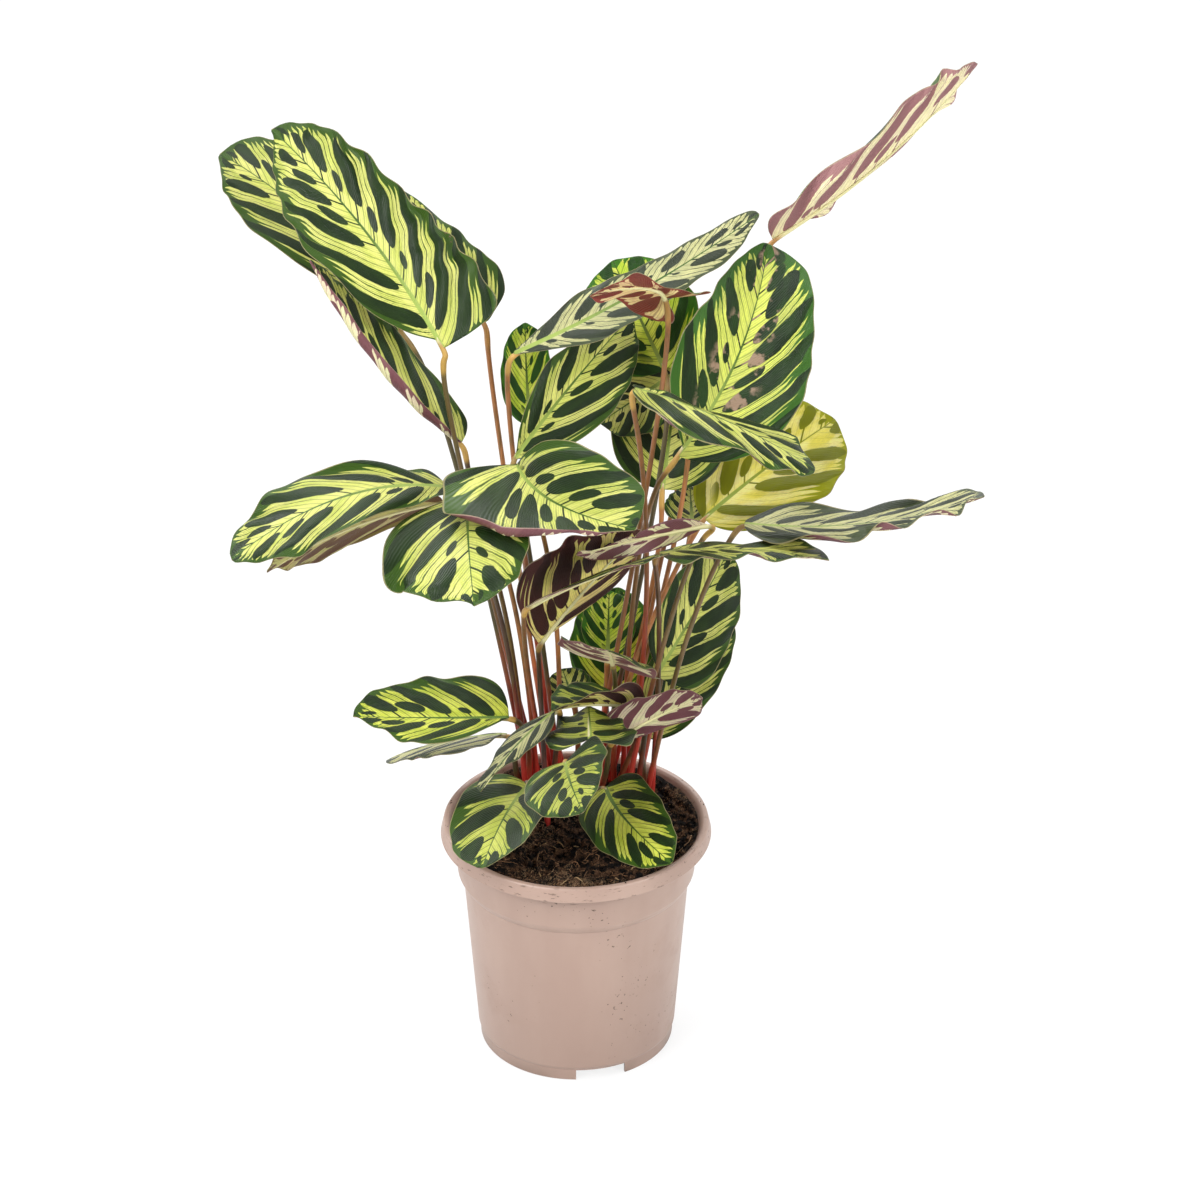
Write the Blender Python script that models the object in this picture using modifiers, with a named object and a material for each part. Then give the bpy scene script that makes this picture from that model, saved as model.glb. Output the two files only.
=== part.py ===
"""Potted calathea: a peacock plant with forty leaves in a 17 cm nursery pot.

The pot and its soil are turned about one upright axis.  Each leaf grew as one piece, a petiole
that rises from the soil and carries a blade, so each leaf is one loft: round sections along the
petiole that widen into thin, curved sections across the blade.

Sizes below are in millimetres and degrees, measured from the pot's axis and the floor.  The
part's own origin is on the floor under the middle of the whole plant, which leans off the pot's
axis, so everything hangs from one empty at POT_AXIS.
"""
import math
from dataclasses import dataclass

import bmesh
import bpy
import numpy as np

MM = 0.001
POT_AXIS = (-17.0, -26.0)

# The pot: a thin moulded wall, a hollow turned-down lip and a stepped foot.
POT_HEIGHT = 157.0
POT_STEPS = 48
WALL = 1.2
LIP_HEIGHT = 9.0
LIP_OUTER_RADIUS = 85.3
LIP_TOP_RADIUS = 83.5
RIM_INNER_RADIUS = 79.8
BAND_HEIGHT = 25.0
BAND_TOP_RADIUS = 76.5
BAND_FOOT_RADIUS = 75.0
SHOULDER_HEIGHT = 6.0
BODY_TOP_RADIUS = 71.3
BODY_FOOT_RADIUS = 63.2
FOOT_RADIUS = 62.0
FOOT_WIDTH = 2.4
FOOT_HEIGHT = 8.0
BASE_THICKNESS = 1.6
NOTCH_COUNT = 3
NOTCH_ANGLE = 30.0
NOTCH_TURN = -75.0
DRAIN_COUNT = 6
DRAIN_DIAMETER = 10.0
DRAIN_CIRCLE_RADIUS = 42.0

# The soil fills the pot to just under its rim.
SOIL_TOP = 147.5
SOIL_EDGE_DROP = 2.0
SOIL_EDGE_WIDTH = 9.0
TOUCHING_GAP = 0.3

# Every leaf: the petiole's thickness, the blade's thickness and where its sections lie.
PETIOLE_RADIUS = 1.6
PETIOLE_FOOT_SWELL = 0.35
PETIOLE_SECTIONS = 4
BLADE_BEND = 9.0
BLADE_OVERLAP = 2.0
MIDRIB_HALF_THICKNESS = 0.8
BLADE_HALF_THICKNESS = 0.55
BLADE_STATIONS = (0.03, 0.12, 0.27, 0.45, 0.63, 0.80, 0.93)
ACROSS = (-1.0, -0.5, 0.0, 0.5, 1.0)
RING_ANGLES = (180.0, 135.0, 90.0, 45.0, 0.0, -45.0, -90.0, -135.0)

POT_TAUPE = (0.42, 0.32, 0.27, 1.0)
SOIL_BROWN = (0.035, 0.02, 0.013, 1.0)
LEAF_GREEN = (0.16, 0.33, 0.06, 1.0)


@dataclass(frozen=True)
class Leaf:
    """One leaf, its petiole and blade, in millimetres and degrees from the pot's axis."""

    name: str
    foot: tuple[float, float]            # where the petiole leaves the soil
    via: tuple[float, float, float]      # the petiole's middle
    neck: tuple[float, float, float]     # where the petiole joins the blade
    tip: tuple[float, float, float]      # the blade's tip
    width: float                         # the blade's greatest width
    facing: tuple[float, float]          # azimuth and elevation that the upper side looks towards
    arch: float = 0.0                    # the midrib's rise out of its chord, over its length
    sway: float = 0.0                    # the midrib's bow to its right, over its length
    twist: float = 0.0                   # turn of the blade about its midrib, neck to tip
    fold: float = 0.0                    # lift of each half blade along the midrib
    curl_left: float = 0.0               # further lift of the left half towards its edge
    curl_right: float = 0.0              # the same on the right
    widest: float = 0.44                 # where along the blade it is widest
    blunt: float = 0.55                  # how round the tip is: smaller is rounder
    lobe: float = 0.0                    # how far the halves reach back past the neck


LEAVES = (
    # The crown: the tallest leaves.
    Leaf("crown_left_front", (-24, 64), (-57, 22, 396), (-78, 7, 480), (-172, 66, 598), 80, (-92, 30),
         arch=0.05, sway=0.06, fold=-4, widest=0.42, blunt=0.45, lobe=0.2),
    Leaf("crown_left_outer", (-31, 62), (-74, 68, 371), (-107, 70, 463), (-214, 115, 566), 64, (-58, 27),
         arch=0.05, fold=8, widest=0.48, blunt=0.45),
    Leaf("crown_left_inner", (-16, 67), (-46, 94, 363), (-58, 95, 455), (-125, 160, 529), 60, (-60, 33),
         arch=0.02, twist=-10, fold=-5),
    Leaf("crown_left_edgewise", (-26, 58), (-55, 42, 318), (-67, 30, 410), (-159, 38, 525), 54, (-12, 38),
         arch=0.05, curl_left=70),
    Leaf("crown_right_long", (31, 61), (68, 112, 350), (115, 111, 500), (246, 154, 603), 72, (125, 40),
         arch=-0.03, sway=-0.04, twist=-10, fold=14, blunt=0.7),
    Leaf("crown_middle_level", (-13, 63), (-37, 50, 374), (-26, 32, 466), (109, 72, 538), 80, (175, 64),
         sway=0.03, fold=4, blunt=0.52),
    Leaf("crown_front_nodding", (9, 57), (47, 25, 403), (51, 0, 501), (33, -85, 566), 84, (95, 40),
         arch=0.04, fold=-8, curl_left=-25, curl_right=-20),
    # The upper tier.
    Leaf("upper_right_broad", (30, 56), (39, 42, 319), (62, 30, 397), (117, 85, 514), 88, (-75, 24),
         arch=0.02, sway=0.07, fold=12, widest=0.54, blunt=0.6),
    Leaf("upper_back_broad", (15, 67), (50, 47, 363), (55, 76, 433), (23, 111, 491), 72, (-100, 35),
         arch=0.04),
    Leaf("upper_back_narrow", (-8, 68), (-33, 81, 305), (-28, 75, 396), (-31, 100, 454), 34, (-110, 30),
         arch=0.03),
    Leaf("upper_middle", (-10, 58), (-28, 42, 319), (-37, 25, 398), (37, 80, 466), 54, (-74, 20),
         arch=0.02, fold=10, blunt=0.6),
    Leaf("upper_back_hanging", (21, 61), (64, 66, 333), (64, 78, 432), (15, 90, 390), 46, (-90, 30),
         arch=0.03),
    Leaf("upper_right_level", (34, 44), (44, 29, 320), (43, -22, 462), (142, -30, 418), 64, (40, 84),
         arch=0.04, twist=-15, fold=-5, lobe=0.5),
    # The middle tier.
    Leaf("middle_back", (16, 59), (46, 65, 278), (54, 73, 352), (65, 105, 429), 74, (-90, 30),
         arch=0.02),
    Leaf("middle_right_broad", (25, 57), (33, 39, 233), (80, 74, 331), (164, 129, 373), 76, (-100, 48),
         arch=0.05, twist=-10, widest=0.57),
    Leaf("middle_right_long", (44, 36), (71, 28, 277), (98, 41, 343), (251, 33, 372), 56, (90, 79),
         arch=-0.06, twist=15, fold=5, widest=0.37),
    Leaf("middle_right_under", (48, 42), (52, 33, 264), (53, -3, 347), (155, 2, 340), 50, (90, 74),
         arch=0.04, twist=-10),
    Leaf("middle_right_small", (39, 52), (57, 67, 236), (73, 84, 323), (72, 104, 338), 34, (-90, 60)),
    Leaf("middle_front_broad", (-12, 46), (-14, 36, 300), (-33, -18, 415), (38, -110, 410), 102, (-100, 32),
         arch=0.1, sway=0.05, twist=22, fold=18, curl_right=25, widest=0.4, lobe=0.9),
    Leaf("middle_left_arching", (-32, 54), (-46, 35, 296), (-79, 6, 388), (-204, -52, 368), 64, (-86, 73),
         arch=0.16, sway=-0.04, widest=0.47),
    Leaf("middle_left_under", (-32, 39), (-47, 28, 288), (-80, 7, 378), (-186, -25, 346), 58, (82, 40),
         arch=0.06),
    Leaf("middle_front_left", (-25, 51), (-39, 28, 300), (-64, -6, 388), (-57, -111, 370), 90, (-112, 44),
         arch=0.1, fold=4, widest=0.48, lobe=0.3),
    # Leaves among the stems.
    Leaf("inner_upright", (-18, 9), (-22, 28, 226), (-21, 18, 273), (27, -11, 376), 74, (124, 7),
         arch=0.01, fold=12, widest=0.43, blunt=0.6),
    Leaf("inner_edgewise", (-14, 31), (-28, 25, 234), (-29, -26, 323), (57, -36, 365), 42, (80, 70),
         arch=0.03),
    Leaf("inner_rolled", (30, 34), (63, 26, 300), (84, 24, 353), (1, -20, 355), 48, (80, 30),
         arch=0.02, curl_left=40),
    Leaf("inner_nodding", (16, 51), (24, 51, 207), (23, 5, 266), (19, -70, 325), 72, (95, 60),
         arch=0.03, fold=-18, curl_left=-30),
    # The lower tier.
    Leaf("lower_right", (38, 38), (44, 39, 198), (50, 46, 234), (96, 90, 299), 54, (-68, 18),
         arch=0.03, fold=12, widest=0.48),
    Leaf("lower_right_under", (42, 48), (43, 49, 164), (41, 62, 181), (97, 95, 253), 46, (-88, 30),
         arch=0.04),
    Leaf("lower_back_small", (10, 63), (17, 63, 192), (20, 60, 241), (21, 83, 275), 34, (-92, 35),
         arch=0.04),
    Leaf("lower_back", (8, 68), (18, 77, 172), (19, 82, 199), (27, 115, 260), 54, (-90, 35),
         arch=0.04),
    Leaf("lower_right_turned", (15, 45), (19, 30, 173), (26, 22, 197), (81, 8, 243), 44, (100, 10),
         arch=0.05),
    Leaf("lower_front_arched", (2, 37), (9, 68, 173), (9, -30, 233), (8, 23, 225), 62, (-92, 50),
         arch=0.05, fold=-25),
    Leaf("lower_front_folded", (24, 49), (37, 36, 190), (41, 33, 224), (-15, -2, 243), 34, (95, 72),
         arch=0.05, twist=30),
    Leaf("lower_left", (-31, 49), (-31, 42, 188), (-40, 26, 218), (-139, 22, 218), 64, (-84, 78),
         sway=-0.03, fold=12),
    Leaf("lower_left_narrow", (-37, 58), (-39, 49, 166), (-46, 58, 183), (-121, 56, 162), 30, (90, 75),
         arch=0.05),
    Leaf("lower_left_drooping", (-16, 26), (-13, 20, 190), (-15, 14, 227), (-57, -26, 194), 46, (-150, 50),
         arch=0.05, twist=20),
    # Young leaves close to the soil.
    Leaf("young_left", (-26, 42), (-31, 25, 166), (-30, 12, 174), (-57, -80, 170), 64, (-120, 55),
         arch=0.06, twist=-12, fold=12, blunt=0.42, lobe=0.6),
    Leaf("young_middle", (-9, 38), (-3, -1, 189), (-6, -40, 222), (5, -106, 226), 60, (-117, 44),
         arch=0.06, twist=-8, fold=12, lobe=0.3),
    Leaf("young_right", (11, 37), (8, 18, 158), (19, 21, 167), (59, -82, 175), 50, (-108, 48),
         arch=0.08, sway=0.04, twist=-10, fold=4, lobe=0.3),
    Leaf("young_back", (0, 62), (1, 62, 177), (-2, 62, 207), (-9, 76, 222), 30, (-90, 50)),
)


def unit(vector) -> np.ndarray:
    """The vector at length one."""
    vector = np.asarray(vector, float)
    return vector / np.linalg.norm(vector)


def direction(azimuth: float, elevation: float) -> np.ndarray:
    """The unit vector at an azimuth and elevation in degrees."""
    turn = math.radians(azimuth)
    lift = math.radians(elevation)
    return np.array([math.cos(lift) * math.cos(turn), math.cos(lift) * math.sin(turn), math.sin(lift)])


class LeafShape:
    """The curved surface of one leaf's blade and the line of its petiole."""

    def __init__(self, leaf: Leaf) -> None:
        self.leaf = leaf
        self.neck = np.array(leaf.neck, float)
        self.tip = np.array(leaf.tip, float)
        self.foot = np.array([*leaf.foot, SOIL_TOP + TOUCHING_GAP])
        self.length = float(np.linalg.norm(self.tip - self.neck))
        self.along = unit(self.tip - self.neck)
        look = direction(*leaf.facing)
        self.upper = unit(look - (look @ self.along) * self.along)
        self.right = np.cross(self.along, self.upper)

    def half_width(self, t: float) -> float:
        """Half the blade's width at t, from 0 at the neck to 1 at the tip."""
        leaf = self.leaf
        if t < leaf.widest:
            share = (1.0 - (1.0 - t / leaf.widest) ** 2.3) ** 0.5
        else:
            share = (1.0 - ((t - leaf.widest) / (1.0 - leaf.widest)) ** 2.1) ** leaf.blunt
        return 0.5 * leaf.width * share

    def midrib(self, t: float) -> np.ndarray:
        """The midrib's point at t."""
        bow = 4.0 * t * (1.0 - t) * self.length
        side_step = self.leaf.sway * bow * self.right
        return self.neck + t * self.length * self.along + self.leaf.arch * bow * self.upper + side_step

    def cross_axes(self, t: float) -> tuple[np.ndarray, np.ndarray]:
        """The blade's sideways and upward directions at t, turned by its twist."""
        turn = math.radians(self.leaf.twist) * (t - 0.5)
        side = math.cos(turn) * self.right + math.sin(turn) * self.upper
        rise = math.cos(turn) * self.upper - math.sin(turn) * self.right
        return side, rise

    def blade_point(self, t: float, u: float) -> np.ndarray:
        """The mid-surface point at t along the blade and u across it, from -1 to 1."""
        leaf = self.leaf
        curl = leaf.curl_right if u > 0 else leaf.curl_left
        steps = 8
        out = 0.0
        lift = 0.0
        for step in range(steps):
            share = abs(u) * (step + 0.5) / steps
            slope = math.radians(leaf.fold + curl * share ** 1.5)
            out += math.cos(slope) * abs(u) / steps
            lift += math.sin(slope) * abs(u) / steps
        half = self.half_width(t)
        side, rise = self.cross_axes(t)
        back = leaf.lobe * half * u * u * max(0.0, 1.0 - t / leaf.widest)
        sideways = math.copysign(out, u) * half * side
        return self.midrib(t) + sideways + lift * half * rise - back * self.along

    def blade_ring(self, t: float) -> list[np.ndarray]:
        """A closed section across the blade at t: left edge, upper side, right edge, under side."""
        middle = [self.blade_point(t, u) for u in ACROSS]
        upper = []
        under = []
        for i in (1, 2, 3):
            normal = unit(np.cross(unit(middle[i + 1] - middle[i - 1]), self.along))
            half = MIDRIB_HALF_THICKNESS if i == 2 else BLADE_HALF_THICKNESS
            upper.append(middle[i] + half * normal)
            under.append(middle[i] - half * normal)
        return [middle[0], *upper, middle[-1], *reversed(under)]

    def petiole_line(self) -> list[np.ndarray]:
        """The petiole's points from the soil to just short of the neck."""
        elbow = self.neck - BLADE_BEND * self.along
        pull = 2.0 * np.array(self.leaf.via, float) - (self.foot + elbow) / 2.0
        line = []
        for t in np.linspace(0.0, 1.0, PETIOLE_SECTIONS):
            line.append((1 - t) ** 2 * self.foot + 2 * t * (1 - t) * pull + t * t * elbow)
        line.append(self.neck - BLADE_OVERLAP * self.along)
        return line

    def petiole_rings(self) -> list[list[np.ndarray]]:
        """Round sections along the petiole, carried down from the blade's own axes."""
        line = self.petiole_line()
        last = len(line) - 1
        side, rise = self.cross_axes(0.0)
        before = self.along
        rings = []
        for i in range(last, -1, -1):
            if i == last:
                heading = self.along
            elif i == 0:
                heading = np.array([0.0, 0.0, 1.0])
            else:
                heading = unit(unit(line[i + 1] - line[i]) + unit(line[i] - line[i - 1]))
            side, rise = turned_with(side, before, heading), turned_with(rise, before, heading)
            before = heading
            swell = 1.0 + PETIOLE_FOOT_SWELL * (1.0 - min(1.0, i / (last - 2)))
            radius = PETIOLE_RADIUS * swell
            ring = []
            for angle in RING_ANGLES:
                a = math.radians(angle)
                ring.append(line[i] + radius * (math.cos(a) * side + math.sin(a) * rise))
            rings.append(ring)
        return rings[::-1]

    def rings(self) -> list[list[np.ndarray]]:
        """All sections of the leaf, from the soil to the tip."""
        return self.petiole_rings() + [self.blade_ring(t) for t in BLADE_STATIONS]


def turned_with(vector: np.ndarray, before: np.ndarray, after: np.ndarray) -> np.ndarray:
    """The vector after the shortest turn that takes one heading to the next."""
    axis = np.cross(before, after)
    size = np.linalg.norm(axis)
    if size < 1e-9:
        return vector
    axis = axis / size
    angle = math.atan2(size, before @ after)
    spun = np.cross(axis, vector) * math.sin(angle) + axis * (axis @ vector) * (1.0 - math.cos(angle))
    return vector * math.cos(angle) + spun


def clear_scene() -> None:
    """Remove whatever objects the scene holds."""
    for existing in list(bpy.data.objects):
        bpy.data.objects.remove(existing, do_unlink=True)


def new_collection(name: str) -> bpy.types.Collection:
    """Make a collection and link it to the scene."""
    collection = bpy.data.collections.new(name)
    bpy.context.scene.collection.children.link(collection)
    return collection


def principled(name: str, color: tuple, roughness: float) -> bpy.types.Material:
    """Make a plain Principled material."""
    material = bpy.data.materials.new(name)
    material.use_nodes = True
    shader = material.node_tree.nodes["Principled BSDF"]
    shader.inputs["Base Color"].default_value = color
    shader.inputs["Roughness"].default_value = roughness
    shader.inputs["Metallic"].default_value = 0.0
    material.diffuse_color = color
    return material


def turned(name: str, profile: list, material: bpy.types.Material) -> bpy.types.Object:
    """Turn a profile of (radius, height) points about the upright axis.

    The profile starts on the axis, climbs the inside and runs down the outer side.
    """
    mesh = bpy.data.meshes.new(name)
    points = [(radius * MM, 0.0, height * MM) for radius, height in profile]
    edges = [(i, i + 1) for i in range(len(points) - 1)]
    mesh.from_pydata(points, edges, [])
    body = bpy.data.objects.new(name, mesh)
    screw = body.modifiers.new("Turn", "SCREW")
    screw.axis = "Z"
    screw.angle = math.tau
    screw.steps = POT_STEPS
    screw.render_steps = POT_STEPS
    screw.use_merge_vertices = True
    screw.merge_threshold = 0.00005
    screw.use_smooth_shade = True
    mesh.materials.append(material)
    return body


def pot_profile() -> list[tuple[float, float]]:
    """The pot's wall: its inside from the floor up, over the lip and down to the foot."""
    lip_foot = POT_HEIGHT - LIP_HEIGHT
    band_foot = lip_foot - BAND_HEIGHT
    body_top = band_foot - SHOULDER_HEIGHT
    body_foot = FOOT_HEIGHT + 2.0
    floor = FOOT_HEIGHT + BASE_THICKNESS
    inside = [
        (0.0, floor),
        (BODY_FOOT_RADIUS - WALL - 1.0, floor),
        (BODY_FOOT_RADIUS - WALL, floor + 1.0),
        (BODY_TOP_RADIUS - WALL, body_top),
        (BAND_FOOT_RADIUS - WALL, band_foot + 0.5),
        (BAND_TOP_RADIUS - WALL, lip_foot),
        (RIM_INNER_RADIUS - WALL, POT_HEIGHT - 1.5),
    ]
    lip = [
        (RIM_INNER_RADIUS, POT_HEIGHT - 0.4),
        (RIM_INNER_RADIUS + 0.8, POT_HEIGHT),
        (LIP_TOP_RADIUS - 0.8, POT_HEIGHT),
        (LIP_TOP_RADIUS, POT_HEIGHT - 0.7),
        (LIP_OUTER_RADIUS, lip_foot + 0.4),
        (LIP_OUTER_RADIUS - 0.2, lip_foot),
        (LIP_OUTER_RADIUS - WALL, lip_foot),
        (LIP_TOP_RADIUS - WALL, POT_HEIGHT - 1.6),
        (RIM_INNER_RADIUS + 0.3, POT_HEIGHT - 1.6),
    ]
    outside = [
        (BAND_TOP_RADIUS, lip_foot),
        (BAND_FOOT_RADIUS, band_foot),
        (BAND_FOOT_RADIUS - 1.3, band_foot - 3.0),
        (BODY_TOP_RADIUS, body_top),
        (BODY_FOOT_RADIUS, body_foot),
        (FOOT_RADIUS, FOOT_HEIGHT),
        (FOOT_RADIUS - 0.2, 0.0),
        (FOOT_RADIUS - FOOT_WIDTH, 0.0),
        (FOOT_RADIUS - FOOT_WIDTH, FOOT_HEIGHT),
        (0.0, FOOT_HEIGHT),
    ]
    return inside + lip + outside


def soil_profile() -> list[tuple[float, float]]:
    """The soil: its top from the axis out, then down the pot's inner wall, clear of it."""
    inside_shift = WALL + TOUCHING_GAP
    lip_foot = POT_HEIGHT - LIP_HEIGHT
    band_foot = lip_foot - BAND_HEIGHT
    body_top = band_foot - SHOULDER_HEIGHT
    floor = FOOT_HEIGHT + BASE_THICKNESS + TOUCHING_GAP
    edge = SOIL_TOP - SOIL_EDGE_DROP
    slope = (BAND_TOP_RADIUS - BAND_FOOT_RADIUS) / BAND_HEIGHT
    edge_radius = BAND_FOOT_RADIUS - inside_shift + slope * (edge - band_foot)
    return [
        (0.0, SOIL_TOP),
        (edge_radius - SOIL_EDGE_WIDTH * 0.3, SOIL_TOP),
        (edge_radius, edge),
        (BAND_FOOT_RADIUS - inside_shift, band_foot + 0.5),
        (BODY_TOP_RADIUS - inside_shift, body_top),
        (BODY_FOOT_RADIUS - inside_shift, floor + 1.0),
        (BODY_FOOT_RADIUS - inside_shift - 1.0, floor),
        (0.0, floor),
    ]


def drain_cutter(collection: bpy.types.Collection, number: int) -> bpy.types.Object:
    """A cylinder that cuts one drain hole through the pot's base."""
    angle = math.tau * (number + 0.5) / DRAIN_COUNT
    radius = DRAIN_CIRCLE_RADIUS * MM
    mesh = bpy.data.meshes.new(f"drain_cutter_{number + 1}")
    shape = bmesh.new()
    bmesh.ops.create_cone(
        shape, cap_ends=True, segments=16, depth=4 * BASE_THICKNESS * MM,
        radius1=DRAIN_DIAMETER / 2 * MM, radius2=DRAIN_DIAMETER / 2 * MM)
    shape.to_mesh(mesh)
    shape.free()
    cutter = bpy.data.objects.new(mesh.name, mesh)
    height = (FOOT_HEIGHT + BASE_THICKNESS / 2) * MM
    cutter.location = (radius * math.cos(angle), radius * math.sin(angle), height)
    return as_cutter(cutter, collection)


def notch_cutter(collection: bpy.types.Collection, number: int) -> bpy.types.Object:
    """A block that cuts one notch up through the pot's foot."""
    angle = math.radians(NOTCH_TURN + 360.0 * number / NOTCH_COUNT)
    span = 2.0 * FOOT_RADIUS * math.sin(math.radians(NOTCH_ANGLE / 2))
    depth = 10.0
    height = FOOT_HEIGHT - 0.5
    mesh = bpy.data.meshes.new(f"notch_cutter_{number + 1}")
    shape = bmesh.new()
    bmesh.ops.create_cube(shape, size=1.0)
    bmesh.ops.scale(shape, vec=(depth * MM, span * MM, 2.0 * height * MM), verts=shape.verts)
    shape.to_mesh(mesh)
    shape.free()
    cutter = bpy.data.objects.new(mesh.name, mesh)
    reach = (FOOT_RADIUS - 2.0) * MM
    cutter.location = (reach * math.cos(angle), reach * math.sin(angle), 0.0)
    cutter.rotation_euler = (0.0, 0.0, angle)
    return as_cutter(cutter, collection)


def as_cutter(cutter: bpy.types.Object, collection: bpy.types.Collection) -> bpy.types.Object:
    """Mark an object as a cutter and file it with the others."""
    cutter.display_type = "WIRE"
    cutter.hide_render = True
    collection.objects.link(cutter)
    return cutter


def make_pot(cutters: bpy.types.Collection, material: bpy.types.Material) -> bpy.types.Object:
    """The nursery pot, turned, then notched at the foot and drilled through the base."""
    pot = turned("pot", pot_profile(), material)
    for number in range(DRAIN_COUNT):
        drain_cutter(cutters, number)
    for number in range(NOTCH_COUNT):
        notch_cutter(cutters, number)
    cut = pot.modifiers.new("Holes and notches", "BOOLEAN")
    cut.operation = "DIFFERENCE"
    cut.solver = "EXACT"
    cut.operand_type = "COLLECTION"
    cut.collection = cutters
    return pot


def make_leaf(leaf: Leaf, material: bpy.types.Material) -> bpy.types.Object:
    """Loft one leaf through its sections and close it at the foot and the tip."""
    shape = LeafShape(leaf)
    name = f"leaf_{leaf.name}"
    mesh = bpy.data.meshes.new(name)
    loft = bmesh.new()
    sections = shape.rings()

    def add(point: np.ndarray) -> bmesh.types.BMVert:
        return loft.verts.new((point - shape.foot) * MM)

    rings = [[add(point) for point in section] for section in sections]
    foot = add(np.mean(sections[0], axis=0))
    tip = add(shape.tip)
    count = len(RING_ANGLES)
    for lower, higher in zip(rings, rings[1:]):
        for i in range(count):
            j = (i + 1) % count
            loft.faces.new((lower[i], lower[j], higher[j]))
            loft.faces.new((lower[i], higher[j], higher[i]))
    for i in range(count):
        j = (i + 1) % count
        loft.faces.new((foot, rings[0][j], rings[0][i]))
        loft.faces.new((tip, rings[-1][i], rings[-1][j]))
    loft.to_mesh(mesh)
    loft.free()
    mesh.shade_smooth()
    mesh.materials.append(material)
    body = bpy.data.objects.new(name, mesh)
    body.location = shape.foot * MM
    return body


def main() -> None:
    """Build the pot, the soil and every leaf under one empty on the pot's axis."""
    clear_scene()
    parts = new_collection("potted_calathea")
    cutters = new_collection("cutters")
    axis = bpy.data.objects.new("pot_axis", None)
    axis.location = (POT_AXIS[0] * MM, POT_AXIS[1] * MM, 0.0)
    parts.objects.link(axis)
    pieces = [
        make_pot(cutters, principled("pot_plastic", POT_TAUPE, 0.45)),
        turned("soil", soil_profile(), principled("potting_soil", SOIL_BROWN, 0.95)),
    ]
    for leaf in LEAVES:
        pieces.append(make_leaf(leaf, principled(f"leaf_{leaf.name}", LEAF_GREEN, 0.4)))
    for piece in pieces:
        parts.objects.link(piece)
        piece.parent = axis
    for cutter in cutters.objects:
        cutter.parent = axis


main()
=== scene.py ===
"""Potted calathea: the looks of a peacock plant in its nursery pot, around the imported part.

Every leaf is a thin closed blade with a patterned upper side and a mauve or maroon under side,
carried by a petiole that runs on under the blade as its midrib.  The pot is turned from its
moulded profile.  The soil is a bed of peat with loose clods, straws and fibres on it, and crumbs
lie on the rim.  Sizes are in millimetres from the pot's axis and the floor unless a name says
otherwise, and shader lengths are in metres.
"""
import logging
import math
from collections.abc import Callable, Sequence
from dataclasses import dataclass, replace
from enum import Enum

import bmesh
import bpy
import numpy as np
from mathutils import Matrix, Vector


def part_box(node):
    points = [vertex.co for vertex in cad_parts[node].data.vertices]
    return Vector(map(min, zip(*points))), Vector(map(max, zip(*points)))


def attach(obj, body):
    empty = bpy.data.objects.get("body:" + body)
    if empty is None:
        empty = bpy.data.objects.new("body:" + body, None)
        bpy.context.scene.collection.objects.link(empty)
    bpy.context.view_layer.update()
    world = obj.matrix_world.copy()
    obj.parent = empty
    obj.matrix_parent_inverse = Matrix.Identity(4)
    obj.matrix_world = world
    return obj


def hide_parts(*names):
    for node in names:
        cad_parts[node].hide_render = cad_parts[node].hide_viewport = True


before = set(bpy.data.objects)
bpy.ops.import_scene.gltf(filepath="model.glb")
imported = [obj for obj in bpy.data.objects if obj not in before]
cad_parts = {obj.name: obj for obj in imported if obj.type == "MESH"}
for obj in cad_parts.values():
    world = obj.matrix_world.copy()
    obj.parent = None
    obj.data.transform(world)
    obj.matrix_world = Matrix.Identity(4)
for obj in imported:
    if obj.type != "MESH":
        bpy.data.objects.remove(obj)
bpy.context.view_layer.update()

MM = 0.001
WHITE = (1.0, 1.0, 1.0)
SIDE_SHIFT = 0.42  # How far a blade's two halves alternate, in oval spacings.
log = logging.getLogger("potted_calathea")

Socket = bpy.types.NodeSocket
Node = bpy.types.Node
Color = tuple[float, float, float]
Place = tuple[float, float, float]
Faces = list[tuple[int, ...]]
Profile = Sequence[tuple[float, float]]
Inputs = dict[str | int, object]


def pot_axis() -> np.ndarray:
    """The pot's axis on the floor in millimetres, from the pot's own box."""
    low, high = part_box("pot")
    return np.array([(low.x + high.x) / 2, (low.y + high.y) / 2, 0.0]) / MM


POT_CENTRE = pot_axis()


def unit(vector: np.ndarray) -> np.ndarray:
    """The vectors at length one, along the last axis."""
    vector = np.asarray(vector, float)
    return vector / np.maximum(np.linalg.norm(vector, axis=-1, keepdims=True), 1e-9)


def smooth_step(low: float, high: float, value: np.ndarray) -> np.ndarray:
    """A smooth rise from 0 at low to 1 at high."""
    share = np.clip((np.asarray(value, float) - low) / (high - low), 0.0, 1.0)
    return share * share * (3.0 - 2.0 * share)


def direction(azimuth: float, elevation: float) -> np.ndarray:
    """The unit vector at an azimuth and elevation in degrees."""
    turn, lift = math.radians(azimuth), math.radians(elevation)
    return around(math.cos(lift), turn, math.sin(lift))


def around(radius: np.ndarray, angle: np.ndarray, height: np.ndarray) -> np.ndarray:
    """Points at each radius, angle and height about the pot's axis."""
    x, y, z = np.broadcast_arrays(radius * np.cos(angle), radius * np.sin(angle), height)
    return np.stack([x, y, z], -1)


def labelled(values: dict[str, object]) -> dict[str, object]:
    """The same values with a space for each _ in a name."""
    return {name.replace("_", " "): value for name, value in values.items()}


# ---------------------------------------------------------------------------------------------
# Node building


def operator(operation: str) -> "Callable[[Value, object], Value]":
    """A method of Value that adds one Math node."""
    return lambda self, other=0.0: self.wire.math(operation, self, other)


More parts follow.
